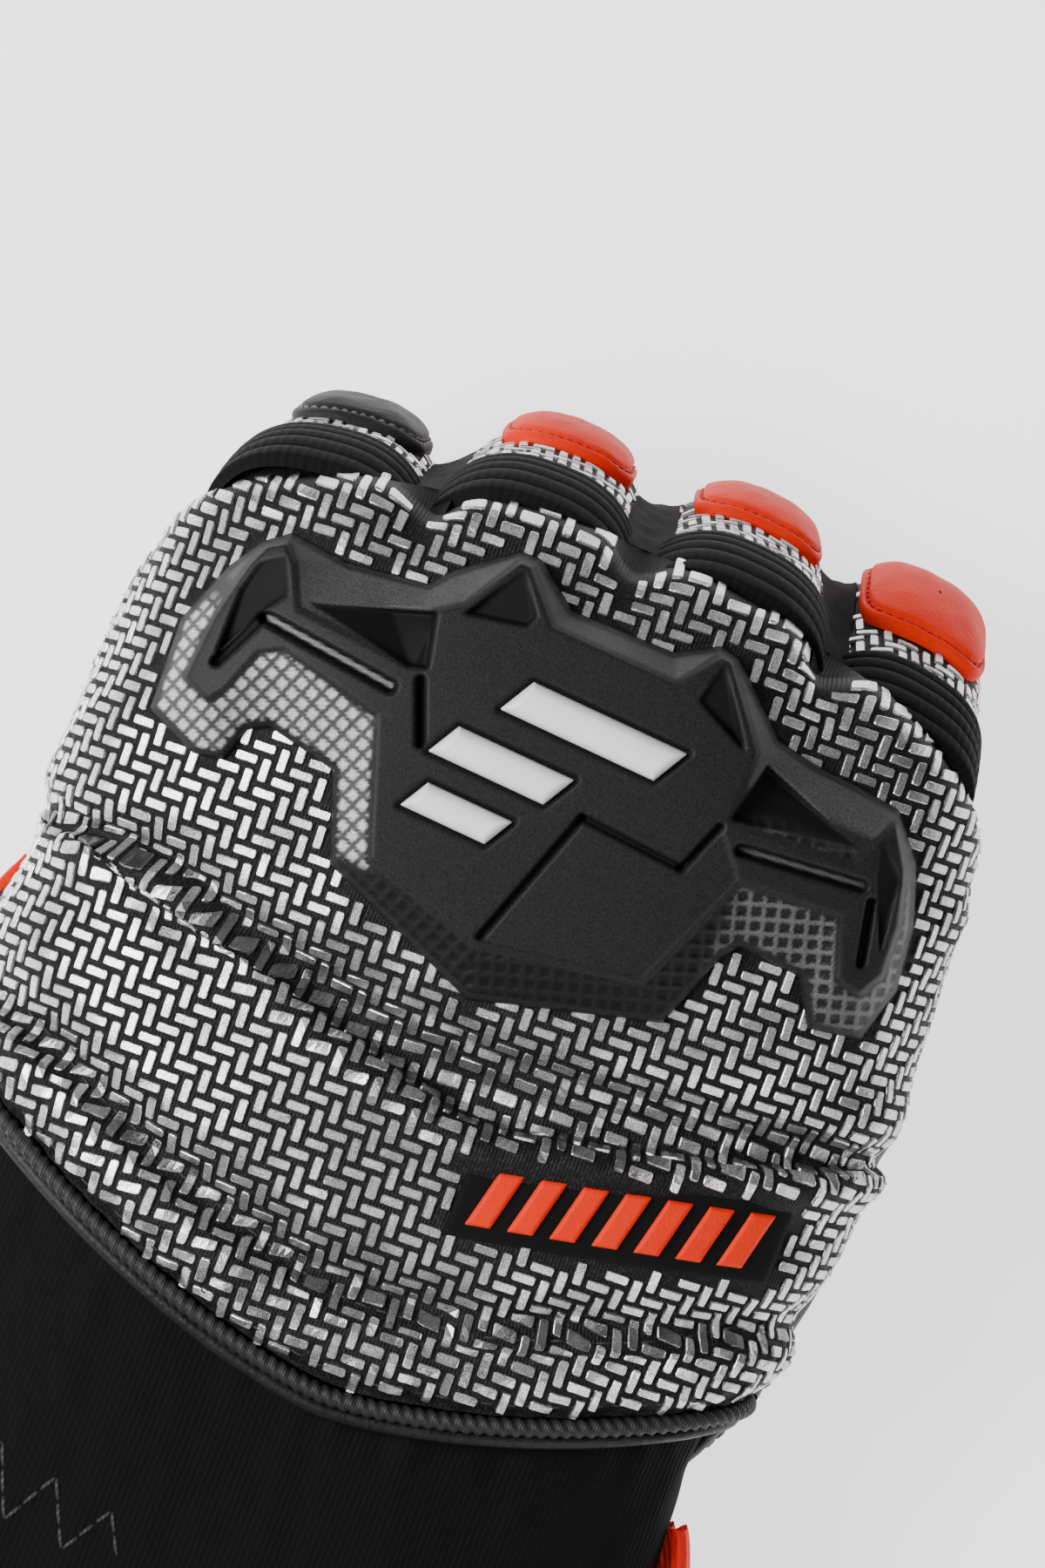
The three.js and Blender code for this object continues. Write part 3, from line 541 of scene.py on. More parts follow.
def silver_print():
    """Silver raised print with a fine sparkle, darkened towards near black by the painted shade that its
    points carry as their tone.
    """
    s = Shader("silver_print", (0.6, 0.6, 0.61), 0.36, metallic=1.0)
    sparkle = noise(s, 6500, detail=1.0)
    patches = noise(s, 160, detail=2.0)
    grain = s.blend(sparkle, 0.36, 0.64, (0.42, 0.42, 0.43), (1.0, 1.0, 1.0))
    worn = s.blend(patches, 0.3, 0.62, (0.62, 0.62, 0.63), (0.86, 0.86, 0.87))
    print_color = s.mix(0.9, grain, worn, "MULTIPLY")
    bright = s.mix(1.0, print_color, (1.15, 1.15, 1.16), "MULTIPLY")
    # Painted shade: a low tone darkens the print colour towards near black.
    s.color(s.mix(s.tone(), (0.03, 0.03, 0.031), bright))
    s.roughness(s.levels(patches, 0.24, 0.42))
    s.relief(sparkle, 0.00006, 0.8)
    return s.material


def base_cloth():
    """Black cloth between the printed blocks, with a fine diagonal weave."""
    s = Shader("base_cloth", (0.004, 0.004, 0.004), 0.7, specular=0.2)
    weave = wave(s, 700, "UV", 0.6)
    dust = noise(s, 2600)
    s.color(s.blend(dust, 0.5, 0.75, (0.003, 0.003, 0.003), (0.03, 0.03, 0.031)))
    s.roughness(s.levels(dust, 0.55, 0.8))
    s.relief(weave, 0.00008, 0.7)
    return s.material


def leather(name, dark, light, rough, grain=1400):
    """Fine-grained leather with soft creases."""
    s = Shader(name, dark, rough, specular=0.3)
    pebbles = cells(s, grain)
    creases = noise(s, 90, detail=5.0)
    s.color(s.blend(creases, 0.35, 0.7, dark, light))
    s.roughness(s.levels(creases, rough - 0.1, rough + 0.12, 0.3, 0.7))
    s.relief(creases, 0.0005, 0.35)
    s.relief(pebbles, 0.00012, 0.6)
    return s.material


def knit(name, dark, light, sheen, rough=0.85, ribs=2600):
    """Fine stretch knit with upright ribs."""
    s = Shader(name, dark, rough, specular=0.12)
    put(s.shader, Sheen_Weight=sheen, Sheen_Roughness=0.4)
    rib = wave(s, ribs / WAVE_TURN, "UV", 0.4)
    loops = cells(s, ribs * 0.9, "UV", (1, 0.5, 1))
    cloud = noise(s, 60, detail=4.0)
    s.color(s.blend(cloud, 0.3, 0.7, dark, light))
    s.roughness(s.levels(cloud, rough - 0.12, rough + 0.08))
    s.relief(rib, 0.00009, 0.7)
    s.relief(loops, 0.00006, 0.6)
    return s.material


def moulded():
    """Matt moulded rubber, black to silver-grey by the tone of its points; the tone holds print colour
    and also painted shade and painted highlights.
    """
    s = Shader("moulded_rubber", (0.004, 0.004, 0.004), 0.5, specular=0.16)
    tone = s.tone()
    grain = noise(s, 3800, detail=2.0)
    speckle = s.levels(grain, 0, 1, 0.3, 0.7)
    matt = s.mix(speckle, (0.006, 0.006, 0.0064), (0.019, 0.019, 0.02))
    silver = s.mix(speckle, (0.3, 0.3, 0.305), (0.62, 0.62, 0.63))
    # Painted shade: a tone near 0 gives a near black, darker than the matt rubber.
    dark = s.blend(tone, 0.0, 0.1, (0.0022, 0.0022, 0.0023), matt)
    s.color(s.blend(tone, 0.12, 1.0, dark, silver))
    s.roughness(s.levels(tone, 0.68, 0.52, 0.0, 0.1))
    s.relief(grain, 0.00006, 0.6)
    return s.material


def fluorescent(name, dark, light, rough, grain):
    """Fluorescent red-orange leather or print."""
    s = Shader(name, dark, rough, specular=0.1)
    cloud = noise(s, 120, detail=4.0)
    pores = cells(s, grain)
    # Painted glow: the orange gives off a little light, standing in for its fluorescence.
    s.glow(s.blend(cloud, 0.3, 0.7, dark, light), 0.12)
    s.roughness(s.levels(cloud, rough - 0.08, rough + 0.1))
    s.relief(cloud, 0.0003, 0.3)
    s.relief(pores, 0.00008, 0.5)
    return s.material


def white_inlay():
    """Smooth white plastic."""
    s = Shader("white_inlay", (0.85, 0.85, 0.85), 0.3)
    cloud = noise(s, 220)
    s.color(s.blend(cloud, 0.3, 0.7, (0.84, 0.84, 0.85), (0.92, 0.92, 0.92)))
    s.roughness(s.levels(cloud, 0.25, 0.38))
    s.relief(cloud, 0.00006, 0.3)
    return s.material


def webbing():
    """Orange woven tape with ribs across it."""
    s = Shader("orange_webbing", (0.75, 0.008, 0.0), 0.7, specular=0.2)
    rib = wave(s, 1500 / WAVE_TURN, "UV", 0.3)
    cross = cells(s, 1300, "UV")
    # Painted glow: the orange tape gives off a little light, standing in for its fluorescence.
    s.glow(s.mix(rib, (0.6, 0.004, 0.0), (0.8, 0.012, 0.0)), 0.1)
    s.roughness(s.levels(cross, 0.6, 0.8))
    s.relief(rib, 0.0002, 0.8)
    s.relief(cross, 0.0001, 0.5)
    return s.material


def thread(name, color):
    """Twisted sewing thread."""
    s = Shader(name, color, 0.6, specular=0.4)
    twist = wave(s, 900, "Object", 1.0)
    s.color(s.mix(twist, tuple(0.7 * part for part in color), color))
    s.roughness(s.levels(twist, 0.5, 0.7))
    s.relief(twist, 0.0001, 0.5)
    return s.material


SILVER = silver_print()
CLOTH = base_cloth()
LEATHER = leather("black_leather", (0.004, 0.004, 0.0045), (0.010, 0.010, 0.0105), 0.5)
DARK_PAD = leather("dark_grey_leather", (0.006, 0.006, 0.0065), (0.016, 0.016, 0.0165), 0.62, grain=1100)
KNIT = knit("black_knit", (0.0015, 0.0015, 0.0016), (0.0032, 0.0032, 0.0034), 0.01)
ELASTIC = knit("black_elastic", (0.0028, 0.0028, 0.003), (0.0055, 0.0055, 0.006), 0.02, ribs=1700)
LINING = knit("grey_lining", (0.03, 0.03, 0.032), (0.06, 0.06, 0.064), 0.3, 0.95, 1400)
RUBBER = moulded()
ORANGE = fluorescent("orange_leather", (0.7, 0.012, 0.0), (0.8, 0.022, 0.0), 0.55, 1500)
PRINT = fluorescent("orange_transfer", (0.7, 0.014, 0.0), (0.78, 0.022, 0.0), 0.5, 2600)
WHITE = white_inlay()
WEBBING = webbing()
BLACK_THREAD = thread("black_thread", (0.02, 0.02, 0.022))
BRAID = thread("black_braid", (0.012, 0.012, 0.013))
GREY_THREAD = thread("grey_thread", (0.16, 0.16, 0.165))
ORANGE_THREAD = thread("orange_thread", (0.7, 0.005, 0.0))


# Back panel cloth, palm and the wall that closes the front of the hand behind the fingers
def seam_arc(station, side):
    """Arc length at which the back panel meets the palm."""
    bottom, power = read(HAND, "along", station, "bottom", "power")
    dip = np.arcsin((-SIDE_SEAM / bottom) ** (power / 2))
    wanted = -dip if side > 0 else math.pi + dip
    arcs = np.linspace(0, side * 110, 441)
    found = []
    for place, angle in zip(station, wanted):
        angles = hand.angle(np.full_like(arcs, place), arcs)
        found.append(np.interp(-side * angle, -side * angles, arcs))
    return np.array(found)


def back_cloth():
    stations = np.linspace(HAND_EDGE, HAND_FRONT, 208)
    share = np.linspace(0, 1, 170)
    left, right = (seam_arc(stations, side)[:, None] for side in (-1, 1))
    arc = left * (1 - share) + right * share
    points = hand_point(arc, np.repeat(stations[:, None], len(share), axis=1))
    uv = (arc, points[..., 1])
    surface_piece("back_cloth", points, [CLOTH], ["hand_back"], uv=uv)


def palm():
    stations = np.linspace(HAND_EDGE, HAND_FRONT, 100)
    gap = 0.01
    rows = []
    for station, right, left, girth in zip(
        stations, seam_arc(stations, 1), seam_arc(stations, -1), hand.girth(stations),
    ):
        arc = np.concatenate([np.linspace(right, girth - gap, 60), np.linspace(gap - girth, left, 60)])
        at = np.full_like(arc, station)
        folds = 0.8 * waves(arc, at, 7, 14, 40, 21) + 0.2 * waves(arc, at, 8, 4, 9, 22)
        seam = np.minimum(np.abs(arc - right), np.abs(arc - left))
        puff = 0.7 * bump(seam, 2.6, 1.8) - 0.5 * bump(seam, 0, 0.7)
        rows.append(raised(hand.point, arc, at, folds * ease(seam, 1, 12) + puff + side_shift(arc, at)))
    surface_piece("palm_leather", np.array(rows), [LEATHER], ["palm"])


def front_wall():
    """Rings from the front edge of the hand to its middle, which bulges a little."""
    reach = hand.girth(HAND_FRONT) - 0.01
    arc = np.linspace(-reach, reach, 120)
    edge = hand_point(arc, np.full_like(arc, HAND_FRONT))
    centre = edge.mean(axis=0)
    shares = np.array([1.0, 0.96, 0.88, 0.7, 0.45, 0.2, 0.02])[:, None, None]
    wall = centre + (edge - centre) * shares
    wall[..., 1] += 2.0 * (1 - shares[..., 0])
    piece("finger_webs", wall, grid_faces(*wall.shape[:2], True), [LEATHER])


# Raised blocks in a herringbone
CELL = 1.78
BLOCK = {"long": 2.86, "short": 1.15, "corner": 0.26, "bevel": 0.12, "sink": 0.12, "height": 0.38}
PATTERN_TURN = math.radians(3)


def block_outline(inset):
    """Rounded rectangle of a block, with places on its long sides, as offsets along its two axes."""
    ring = []
    reach = (BLOCK["long"] / 2 - BLOCK["corner"], BLOCK["short"] / 2 - BLOCK["corner"])
    radius = BLOCK["corner"] - inset
    for quarter in range(4):
        sign = ((1, 1), (-1, 1), (-1, -1), (1, -1))[quarter]
        for step in range(3):
            turn = math.pi / 2 * (quarter + step / 2)
            ring.append((
                sign[0] * reach[0] + radius * math.cos(turn),
                sign[1] * reach[1] + radius * math.sin(turn),
            ))
        if quarter % 2 == 0:
            for share in (1 / 3, -1 / 3):
                ring.append((sign[0] * share * reach[0], sign[1] * (reach[1] + radius)))
    return np.array(ring)


def pattern(arc_range, along_range):
    """Middles and directions of the blocks that fill a stretch of cloth."""
    reach = int(max(abs(v) for v in (*arc_range, *along_range)) * 1.5 / CELL) + 2
    i, j = spread(np.arange(-reach, reach), np.arange(-reach, reach))
    kind = (i + j) % 4
    middles = []
    turns = []
    for wanted, x, y, turn in ((0, 1.0, 0.5, 0.0), (2, 0.5, 1.0, math.pi / 2)):
        here = kind == wanted
        px = (i[here] + x) * CELL
        py = -(j[here] + y) * CELL
        arc = px * math.cos(PATTERN_TURN) - py * math.sin(PATTERN_TURN)
        along = px * math.sin(PATTERN_TURN) + py * math.cos(PATTERN_TURN)
        inside = (arc > arc_range[0]) & (arc < arc_range[1])
        inside &= (along > along_range[0]) & (along < along_range[1])
        middles.append(np.stack([arc[inside], along[inside]], -1))
        turns.append(np.full(inside.sum(), turn + PATTERN_TURN))
    return np.concatenate(middles), np.concatenate(turns)


def blocks(name, surface, middles, turns, rough, shade):
    """One piece of many raised blocks, each laid on surface(arc, along) and darkened by its shade, which
    is painted shade carried as the tone of its points.
    """
    count = len(middles)
    rings = [
        (block_outline(-0.03), -BLOCK["sink"]),
        (block_outline(0.02), BLOCK["height"] * 0.7),
        (block_outline(BLOCK["bevel"]), BLOCK["height"]),
    ]
    tilt = rng.normal(0, 1, (count, 2)) * (0.02 + 0.06 * rough[:, None])
    lift = rng.uniform(-0.03, 0.05, count)
    points = []
    for outline, height in rings:
        x = outline[None, :, 0]
        y = outline[None, :, 1]
        arc = middles[:, :1] + x * np.cos(turns)[:, None] - y * np.sin(turns)[:, None]
        along = middles[:, 1:] + x * np.sin(turns)[:, None] + y * np.cos(turns)[:, None]
        high = height + (lift[:, None] + x * tilt[:, :1] + y * tilt[:, 1:]) * (height > 0)
        points.append(raised(surface, arc, along, high))
    points = np.stack(points, 1)
    sides = len(rings[0][0])
    start = (np.arange(count) * 3 * sides)[:, None]
    faces = []
    for ring in range(2):
        a = start + ring * sides + np.arange(sides)[None, :]
        b = start + ring * sides + (np.arange(sides)[None, :] + 1) % sides
        faces.extend(np.stack([a, b, b + sides, a + sides], -1).reshape(-1, 4).tolist())
    top = start + 2 * sides
    for k in range(sides // 2 - 1):
        corners = [top + k, top + k + 1, top + sides - 2 - k, top + sides - 1 - k]
        faces.extend(np.concatenate(corners, 1).tolist())
    tone = np.repeat(shade, 3 * sides)
    piece(name, points, faces, [SILVER], smooth_faces=False, tone=tone)


def inside_outline(points, outline):
    """Distance to the edge of an outline, positive inside it and negative outside."""
    x = points[..., 0]
    y = points[..., 1]
    nearest = np.full(x.shape, 1e9)
    inside = np.zeros(x.shape, dtype=bool)
    for (x0, y0), (x1, y1) in zip(outline, np.roll(outline, -1, axis=0)):
        run = np.array([x1 - x0, y1 - y0])
        t = np.clip(((x - x0) * run[0] + (y - y0) * run[1]) / (run @ run), 0, 1)
        nearest = np.minimum(nearest, np.hypot(x - x0 - t * run[0], y - y0 - t * run[1]))
        if y0 != y1:
            crosses = ((y0 > y) != (y1 > y)) & (x < (x1 - x0) * (y - y0) / (y1 - y0) + x0)
            inside ^= crosses
    return np.where(inside, nearest, -nearest)


def capsule(points, start, end):
    """Distance to the line between two places."""
    x = points[..., 0] - start[0]
    y = points[..., 1] - start[1]
    run = np.array(end, dtype=float) - np.array(start, dtype=float)
    t = np.clip((x * run[0] + y * run[1]) / (run @ run), 0, 1)
    return np.hypot(x - t * run[0], y - t * run[1])


# Knuckle guard: foot and crown corners in the same order, as in the CAD model
GUARD = table(
    "foot_x foot_y crown_x crown_y",
    (-38.3, 16.8, -38.2, 15.4),
    (-35.6, 16.6, -36.6, 13.6),
    (-30.4, 16.0, -34.0, 8.4),
    (-20.6, 17.2, -18.6, 7.0),
    (-18.9, 19.4, -18.4, 14.4),
    (-16.8, 21.2, -15.4, 16.4),
    (-12.0, 25.0, -11.4, 23.6),
    (-9.4, 25.0, -10.2, 23.6),
    (-3.8, 20.6, -5.3, 17.8),
    (9.4, 20.6, 11.1, 17.0),
    (14.3, 23.4, 14.8, 22.2),
    (16.8, 22.9, 16.0, 22.0),
    (24.8, 15.6, 22.6, 13.2),
    (29.6, 14.5, 22.2, 4.0),
    (36.0, 14.0, 38.6, 5.0),
    (41.4, 13.4, 41.6, 11.4),
    (45.8, 8.4, 44.4, 7.0),
    (48.6, 1.0, 46.2, 0.6),
    (49.6, -6.8, 46.6, -5.5),
    (47.6, -13.6, 44.9, -8.4),
    (41.2, -14.6, 42.2, -7.8),
    (38.0, -9.2, 39.6, -0.6),
    (29.6, -8.6, 26.4, -1.4),
    (28.0, -10.8, 25.0, -5.1),
    (24.4, -20.4, 20.2, -16.7),
    (2.0, -26.4, 0.2, -20.0),
    (-19.0, -17.7, -14.6, -15.3),
    (-22.9, -7.2, -20.2, 0.8),
    (-32.0, -5.2, -33.6, 4.1),
    (-34.6, -6.6, -36.6, 2.6),
    (-36.0, -11.0, -38.6, -3.2),
    (-39.4, -11.6, -39.9, -4.8),
    (-46.2, -8.8, -43.2, -3.6),
    (-46.8, 2.6, -42.6, 4.5),
    (-43.8, 10.4, -41.2, 11.6),
    (-41.2, 14.6, -40.2, 14.2),
)
FOOT = np.stack([GUARD["foot_x"], GUARD["foot_y"]], -1)
CROWN = np.stack([GUARD["crown_x"], GUARD["crown_y"]], -1)
GUARD_EDGE = 1.3
GUARD_CROWN = 6.0
GUARD_CELL = 0.25
GUARD_SPAN = ((-48.6, 51.3), (-28, 26.6))
RIDGE_WIDTH = 0.4
RIDGE_HEIGHT = 0.4
POCKET_DEPTH = 0.7
PANEL_DEPTH = 0.3

# Sunk facets: an outline, the place where it is level with the crown, and its deep side and depth
FACETS = (
    ([(-10.7, 23.2), (-15.3, 15.6), (-7.9, 16.9), (-7.3, 18.4)], (-10.7, 23.2), (-11.3, 15.8), 1.5),
    ([(15.3, 21.8), (14.2, 16.4), (21.4, 12.9)], (15.3, 22.0), (17.6, 14.2), 1.5),
    ([(-33.0, 9.9), (-18.4, 14.6), (-16.9, 7.9), (-19.1, 7.3)], (-33.2, 10.6), (-17.4, 11.0), 2.3),
    ([(-37.6, 14.2), (-35.6, 9.8), (-37.4, 7.2), (-41.0, 0.2), (-41.1, 8.5), (-40.2, 12.2)],
     (-38.5, 15), (-39.5, 1), 2.0),
    ([(24.6, 12.4), (38.4, 7.4), (22.9, 4.8)], (38, 7), (23, 9), 2.4),
    ([(40.4, 9.6), (44.6, 5.6), (45.6, -3.4), (43.4, 1.0), (41.6, 5.0)], (41, 10), (45, -3), 1.2),
)
# Slots: start, end, width and depth
SLOTS = (
    ((-37.0, 6.4), (-20.2, 4.3), 1.1, 1.9),
    ((-37.4, 6.2), (-40.6, -0.6), 0.8, 1.7),
    ((-17.2, 6.4), (-14.4, -0.6), 0.6, 1.8),
    ((25.4, 1.9), (40.4, 3.3), 1.0, 1.8),
    ((42.2, 2.0), (43.8, -5.2), 0.7, 1.6),
    ((0.6, -19.0), (6.5, -1.5), 0.42, 1.3),
    ((6.5, -1.5), (19.6, -2.7), 0.42, 1.3),
    ((19.6, -2.7), (22.0, 3.6), 0.42, 1.3),
)
LOWER_PANEL = (
    (0.9, -19.6), (6.7, -1.7), (19.8, -2.9), (22.4, 3.4), (26.4, -1.4), (25, -5.1), (20.2, -16.7),
)
STRIPES = (
    {"across": 4.0, "along": 8.4, "length": 20, "width": 4.6},
    {"across": -4.6, "along": 0.6, "length": 15, "width": 4.2},
    {"across": -7.4, "along": -6.6, "length": 11, "width": 3.8},
)
STRIPE_TURN = math.radians(-3)
STRIPE_SLANT = 0.5


def slanted(bar, turn, slant, a, b):
    """Place of a share (a, b) of a slanted bar, each from -1 to 1."""
    x = a * bar["length"] / 2 + b * bar["width"] / 2 * slant
    y = b * bar["width"] / 2
    across = bar["across"] + x * math.cos(turn) - y * math.sin(turn)
    return across, bar["along"] + x * math.sin(turn) + y * math.cos(turn)


def bar_outline(bar, turn, slant):
    return np.array([slanted(bar, turn, slant, a, b) for a, b in ((-1, -1), (1, -1), (1, 1), (-1, 1))])


def lattice(x, y, turn, pitch, width):
    """1 on the ridges of a square lattice and 0 between them, with soft sides as wide as half a ridge."""
    ridge = 0
    for direction in (turn, turn + math.pi / 2):
        along = x * math.cos(direction) + y * math.sin(direction)
        off = np.abs((along / pitch + 0.5) % 1 - 0.5) * pitch
        ridge = np.maximum(ridge, 1 - ease(off, width * 0.5, width))
    return ridge


def guard():
    """One sheet over the whole plate, whose level and tone are worked out place by place; the tone holds
    silver and grey print and also painted shade and painted highlights.
    """
    x, y = spread(*(np.arange(start, end, GUARD_CELL) for start, end in GUARD_SPAN))
    places = np.stack([x, y], -1)
    foot = inside_outline(places, FOOT)
    crown = inside_outline(places, CROWN)
    share = np.clip(foot / np.maximum(foot - crown, 1e-6), 0, 1)
    height = np.where(crown > 0, GUARD_CROWN, GUARD_EDGE + (GUARD_CROWN - GUARD_EDGE) * share)
    height = np.where(foot < 0, GUARD_EDGE + foot * 4, height)

    def within(outline, start, end):
        return ease(inside_outline(places, np.array(outline)), start, end)

    def groove(start, end, inner, outer):
        return 1 - ease(capsule(places, start, end), inner, outer)

    pockets = [bar_outline(bar, STRIPE_TURN, STRIPE_SLANT) for bar in STRIPES]
    for outline, level, deep, depth in FACETS:
        axis = np.array(deep) - np.array(level)
        run = ((x - level[0]) * axis[0] + (y - level[1]) * axis[1]) / (axis @ axis)
        height = height - depth * np.clip(run, 0, 1.1) * within(outline, -0.15, 0.3)
    height = height - PANEL_DEPTH * within(LOWER_PANEL, -0.2, 0.3)
    for start, end, width, depth in SLOTS:
        height = height - depth * groove(start, end, width * 0.5, width * 0.5 + 0.35)
    for pocket in pockets:
        height = height - POCKET_DEPTH * within(pocket, -0.6, -0.2)
    skirt = ease(foot, 0.4, 1.0) * ease(-crown, 0.5, 1.1)
    low_side = ease(-y, -8, -4) * skirt
    left = ease(-x, 13, 15)
    left_ridges = lattice(x, y, math.radians(67), 1.7, RIDGE_WIDTH)
    ridges = np.where(x < 1, left_ridges, lattice(x, y, math.radians(18), 1.75, RIDGE_WIDTH))
    height = height + RIDGE_HEIGHT * ridges * low_side * (1 - 0.4 * left)
    silver = low_side * left * ease(y, -17.4, -15.6) * (1 - 0.85 * ridges)
    grey = low_side * (0.06 + 0.2 * ease(x, 25.5, 27.5)) * (0.3 + 0.7 * ridges)
    # Painted shade: the sunk facets, the pockets around the white bars and the slots are darkened towards
    # black in the tone.
    dark = 0
    for outline, *_ in FACETS:
        dark = np.maximum(dark, within(outline, -0.1, 0.2))
    for pocket in pockets:
        dark = np.maximum(dark, within(pocket, -0.7, -0.4))
    # Painted highlight: a lighter line along the lower side of each wide slot, stronger on the left,
    # where the key light falls.
    slot_highlight = 0
    for start, end, width, _ in SLOTS:
        dark = np.maximum(dark, groove(start, end, width * 0.5, width * 0.5 + 0.3))
        if width > 0.9:
            highlight_strength = 0.4 if start[0] < 0 else 0.24
            lit = groove((start[0], start[1] + 0.2), (end[0], end[1] + 0.2), 0.2, 0.45)
            slot_highlight = np.maximum(slot_highlight, highlight_strength * lit)
    # Painted light: the top skirt is lighter in the tone. The matt crown's tone then takes in the painted
    # shade and the painted slot highlights.
    top_skirt = ease(y, 8, 10) * ease(foot, 0.3, 0.8) * ease(-crown, 0.4, 1.0)
    matt = (0.1 + 0.09 * top_skirt) * (1 - dark) + slot_highlight
    padded = np.pad(height, 1, mode="edge")
    around = padded[2:, 1:-1] + padded[:-2, 1:-1] + padded[1:-1, 2:] + padded[1:-1, :-2]
    height = 0.5 * height + 0.125 * around
    points = np.stack([x, y, back_level(x, y) + height], -1).reshape(-1, 3)
    faces = grid_faces(*x.shape)
    kept = (foot.ravel()[faces] > -0.75).all(axis=1)
    used, index = np.unique(faces[kept], return_inverse=True)
    tone = np.clip(matt * (1 - ease(low_side, 0.1, 0.6)) + silver + grey, 0, 1).ravel()
    piece(
        "guard_moulding", points[used], index.reshape(-1, 4), [RUBBER], ["knuckle_guard"],
        tone=tone[used],
    )


def dome_bar(name, bar, turn, slant, levels, crown, material, nodes, rows, columns, bevel=0.7):
    """A bar with a soft crowned top and rounded edges, from a low to a high level over the back."""
    a, b = grid(-1, 1, rows, -1, 1, columns)
    edge = np.minimum((1 - np.abs(a)) * bar["length"] / 2, (1 - np.abs(b)) * bar["width"] / 2)
    rise = rounded(edge, bevel)
    low, high = levels
    height = low + (high - low) * rise + crown * (1 - b * b) * rise
    x, y = slanted(bar, turn, slant, a, b)
    points = np.stack([x, y, back_level(x, y) + height], -1)
    surface_piece(name, points, [material], nodes)


def stripes():
    levels = (GUARD_CROWN - POCKET_DEPTH, GUARD_CROWN + 0.5)
    for number, bar in enumerate(STRIPES, 1):
        dome_bar(
            f"white_bar_{number}", bar, STRIPE_TURN, STRIPE_SLANT, levels, 0.6, WHITE,
            [f"guard_stripe_{number}"], 81, 33, 1.3,
        )


# Wrist badge
BADGE = {"across": 29.0, "along": -44.4, "length": 40, "width": 10.6}
BADGE_TURN = math.radians(12)
BADGE_BARS = 7
BADGE_PITCH = 5.1


def badge():
    dome_bar(
        "badge_cloth", BADGE, BADGE_TURN, 0.2, (-0.3, 0.95), 0.1, ELASTIC, ["badge_base"],
        81, 31,
    )
    for index in range(BADGE_BARS):
        offset = (index - (BADGE_BARS - 1) / 2) * BADGE_PITCH
        bar = {
            "across": BADGE["across"] + offset * math.cos(BADGE_TURN),
            "along": BADGE["along"] + offset * math.sin(BADGE_TURN),
            "length": 3.2,
            "width": 7,
        }
        dome_bar(
            f"orange_bar_{index + 1}", bar, BADGE_TURN, 0.45, (0.9, 1.7), 0.1, PRINT,
            [f"badge_bar_{index + 1}"], 21, 31,
        )


def back_blocks():
    """The herringbone of the back, left out under the guard and the patch and between the knuckles."""
    middles, turns = pattern((-78, 78), (-92, 40))
    arc, along = middles[:, 0], middles[:, 1]
    station = looked_up(look_station, arc, along)
    points = back_panel_point(arc, along)
    covered = inside_outline(points[:, :2], FOOT) > -0.3
    patch = bar_outline({**BADGE, "length": 41, "width": 11.6}, BADGE_TURN, 0.2)
    covered |= inside_outline(points[:, :2], patch) > 0
    shown = (station > -75.0) & (station < 27.0) & (points[:, 2] > -1.2) & ~covered
    shown &= np.abs(along - points[:, 1]) < 2.5
    for web in WEBS:
        shown &= np.abs(arc - web) > 0.42 * (station - 18)
    from_fold, from_seam = from_valleys(arc, station)
    sides = 0.3 * ease(np.abs(arc), 50, 70)
    rough = np.clip(bump(from_fold, -2, 3) + bump(from_seam, -2, 3) + sides, 0, 1)
    # Painted shade: the blocks on the steep flanks that face the fingers, at the fold and the lower seam,
    # and those towards the little finger's side, are darkened in their colour.
    flank = bump(from_fold, -1.4, 1.7) * (1 - 0.6 * ease(arc, 20, 50))
    flank = np.maximum(flank, 0.9 * bump(from_seam, -1.2, 1.4))
    shade = (1 - 0.8 * flank) * (1 - 0.3 * ease(arc, 34, 66))
    blocks("back_blocks", back_panel_point, middles[shown], turns[shown], rough[shown], shade[shown])


# Fingers, as in the CAD model
FINGERS = {
    "index": dict(across=-36.9, tip_across=-35.4, along=14.5, level=8.6, first=78, roll=10,
                  proximal=41.5, middle=25, distal=19, radius=12.8, tip_radius=10.6),
    "middle": dict(across=-11.6, tip_across=-11.2, along=20.0, level=13.0, first=76.5, roll=2,
                   proximal=45, middle=28, distal=20, radius=12.6, tip_radius=10.7),
    "ring": dict(across=14.4, tip_across=12.4, along=20.0, level=12.5, first=75, roll=-4,
                 proximal=44, middle=27, distal=20, radius=12.5, tip_radius=10.4),
    "little": dict(across=38.3, tip_across=34.4, along=14.0, level=8.0, first=62.5, roll=-11,
                   proximal=38, middle=23, distal=18, radius=11.4, tip_radius=9.8),
}
START_ANGLE = 12
SECOND_BEND = 72
THIRD_BEND = 42
BEND_LENGTH = (24, 20, 16)
ROOT_REACH = 12
ROOT_TAPER = 0.36
ROOT_SINK = 1.8
SEAM_TURN = 1.5
BAND = {"start": 1.6, "end": 11.6, "half_arc": 19.5, "ribs": 5}
FINGER_POWER = 2.5


def finger_length(f):
    return f["proximal"] + f["middle"] + f["distal"]


def finger_slope(f, distance):
    joints = (0, f["proximal"], f["proximal"] + f["middle"])
    bends = (f["first"] - START_ANGLE, SECOND_BEND, THIRD_BEND)
    angle = START_ANGLE + 0 * distance
    for joint, bend, length in zip(joints, bends, BEND_LENGTH):
        angle = angle + bend * ease(distance, joint - length / 2, joint + length / 2)
    return np.radians(angle)


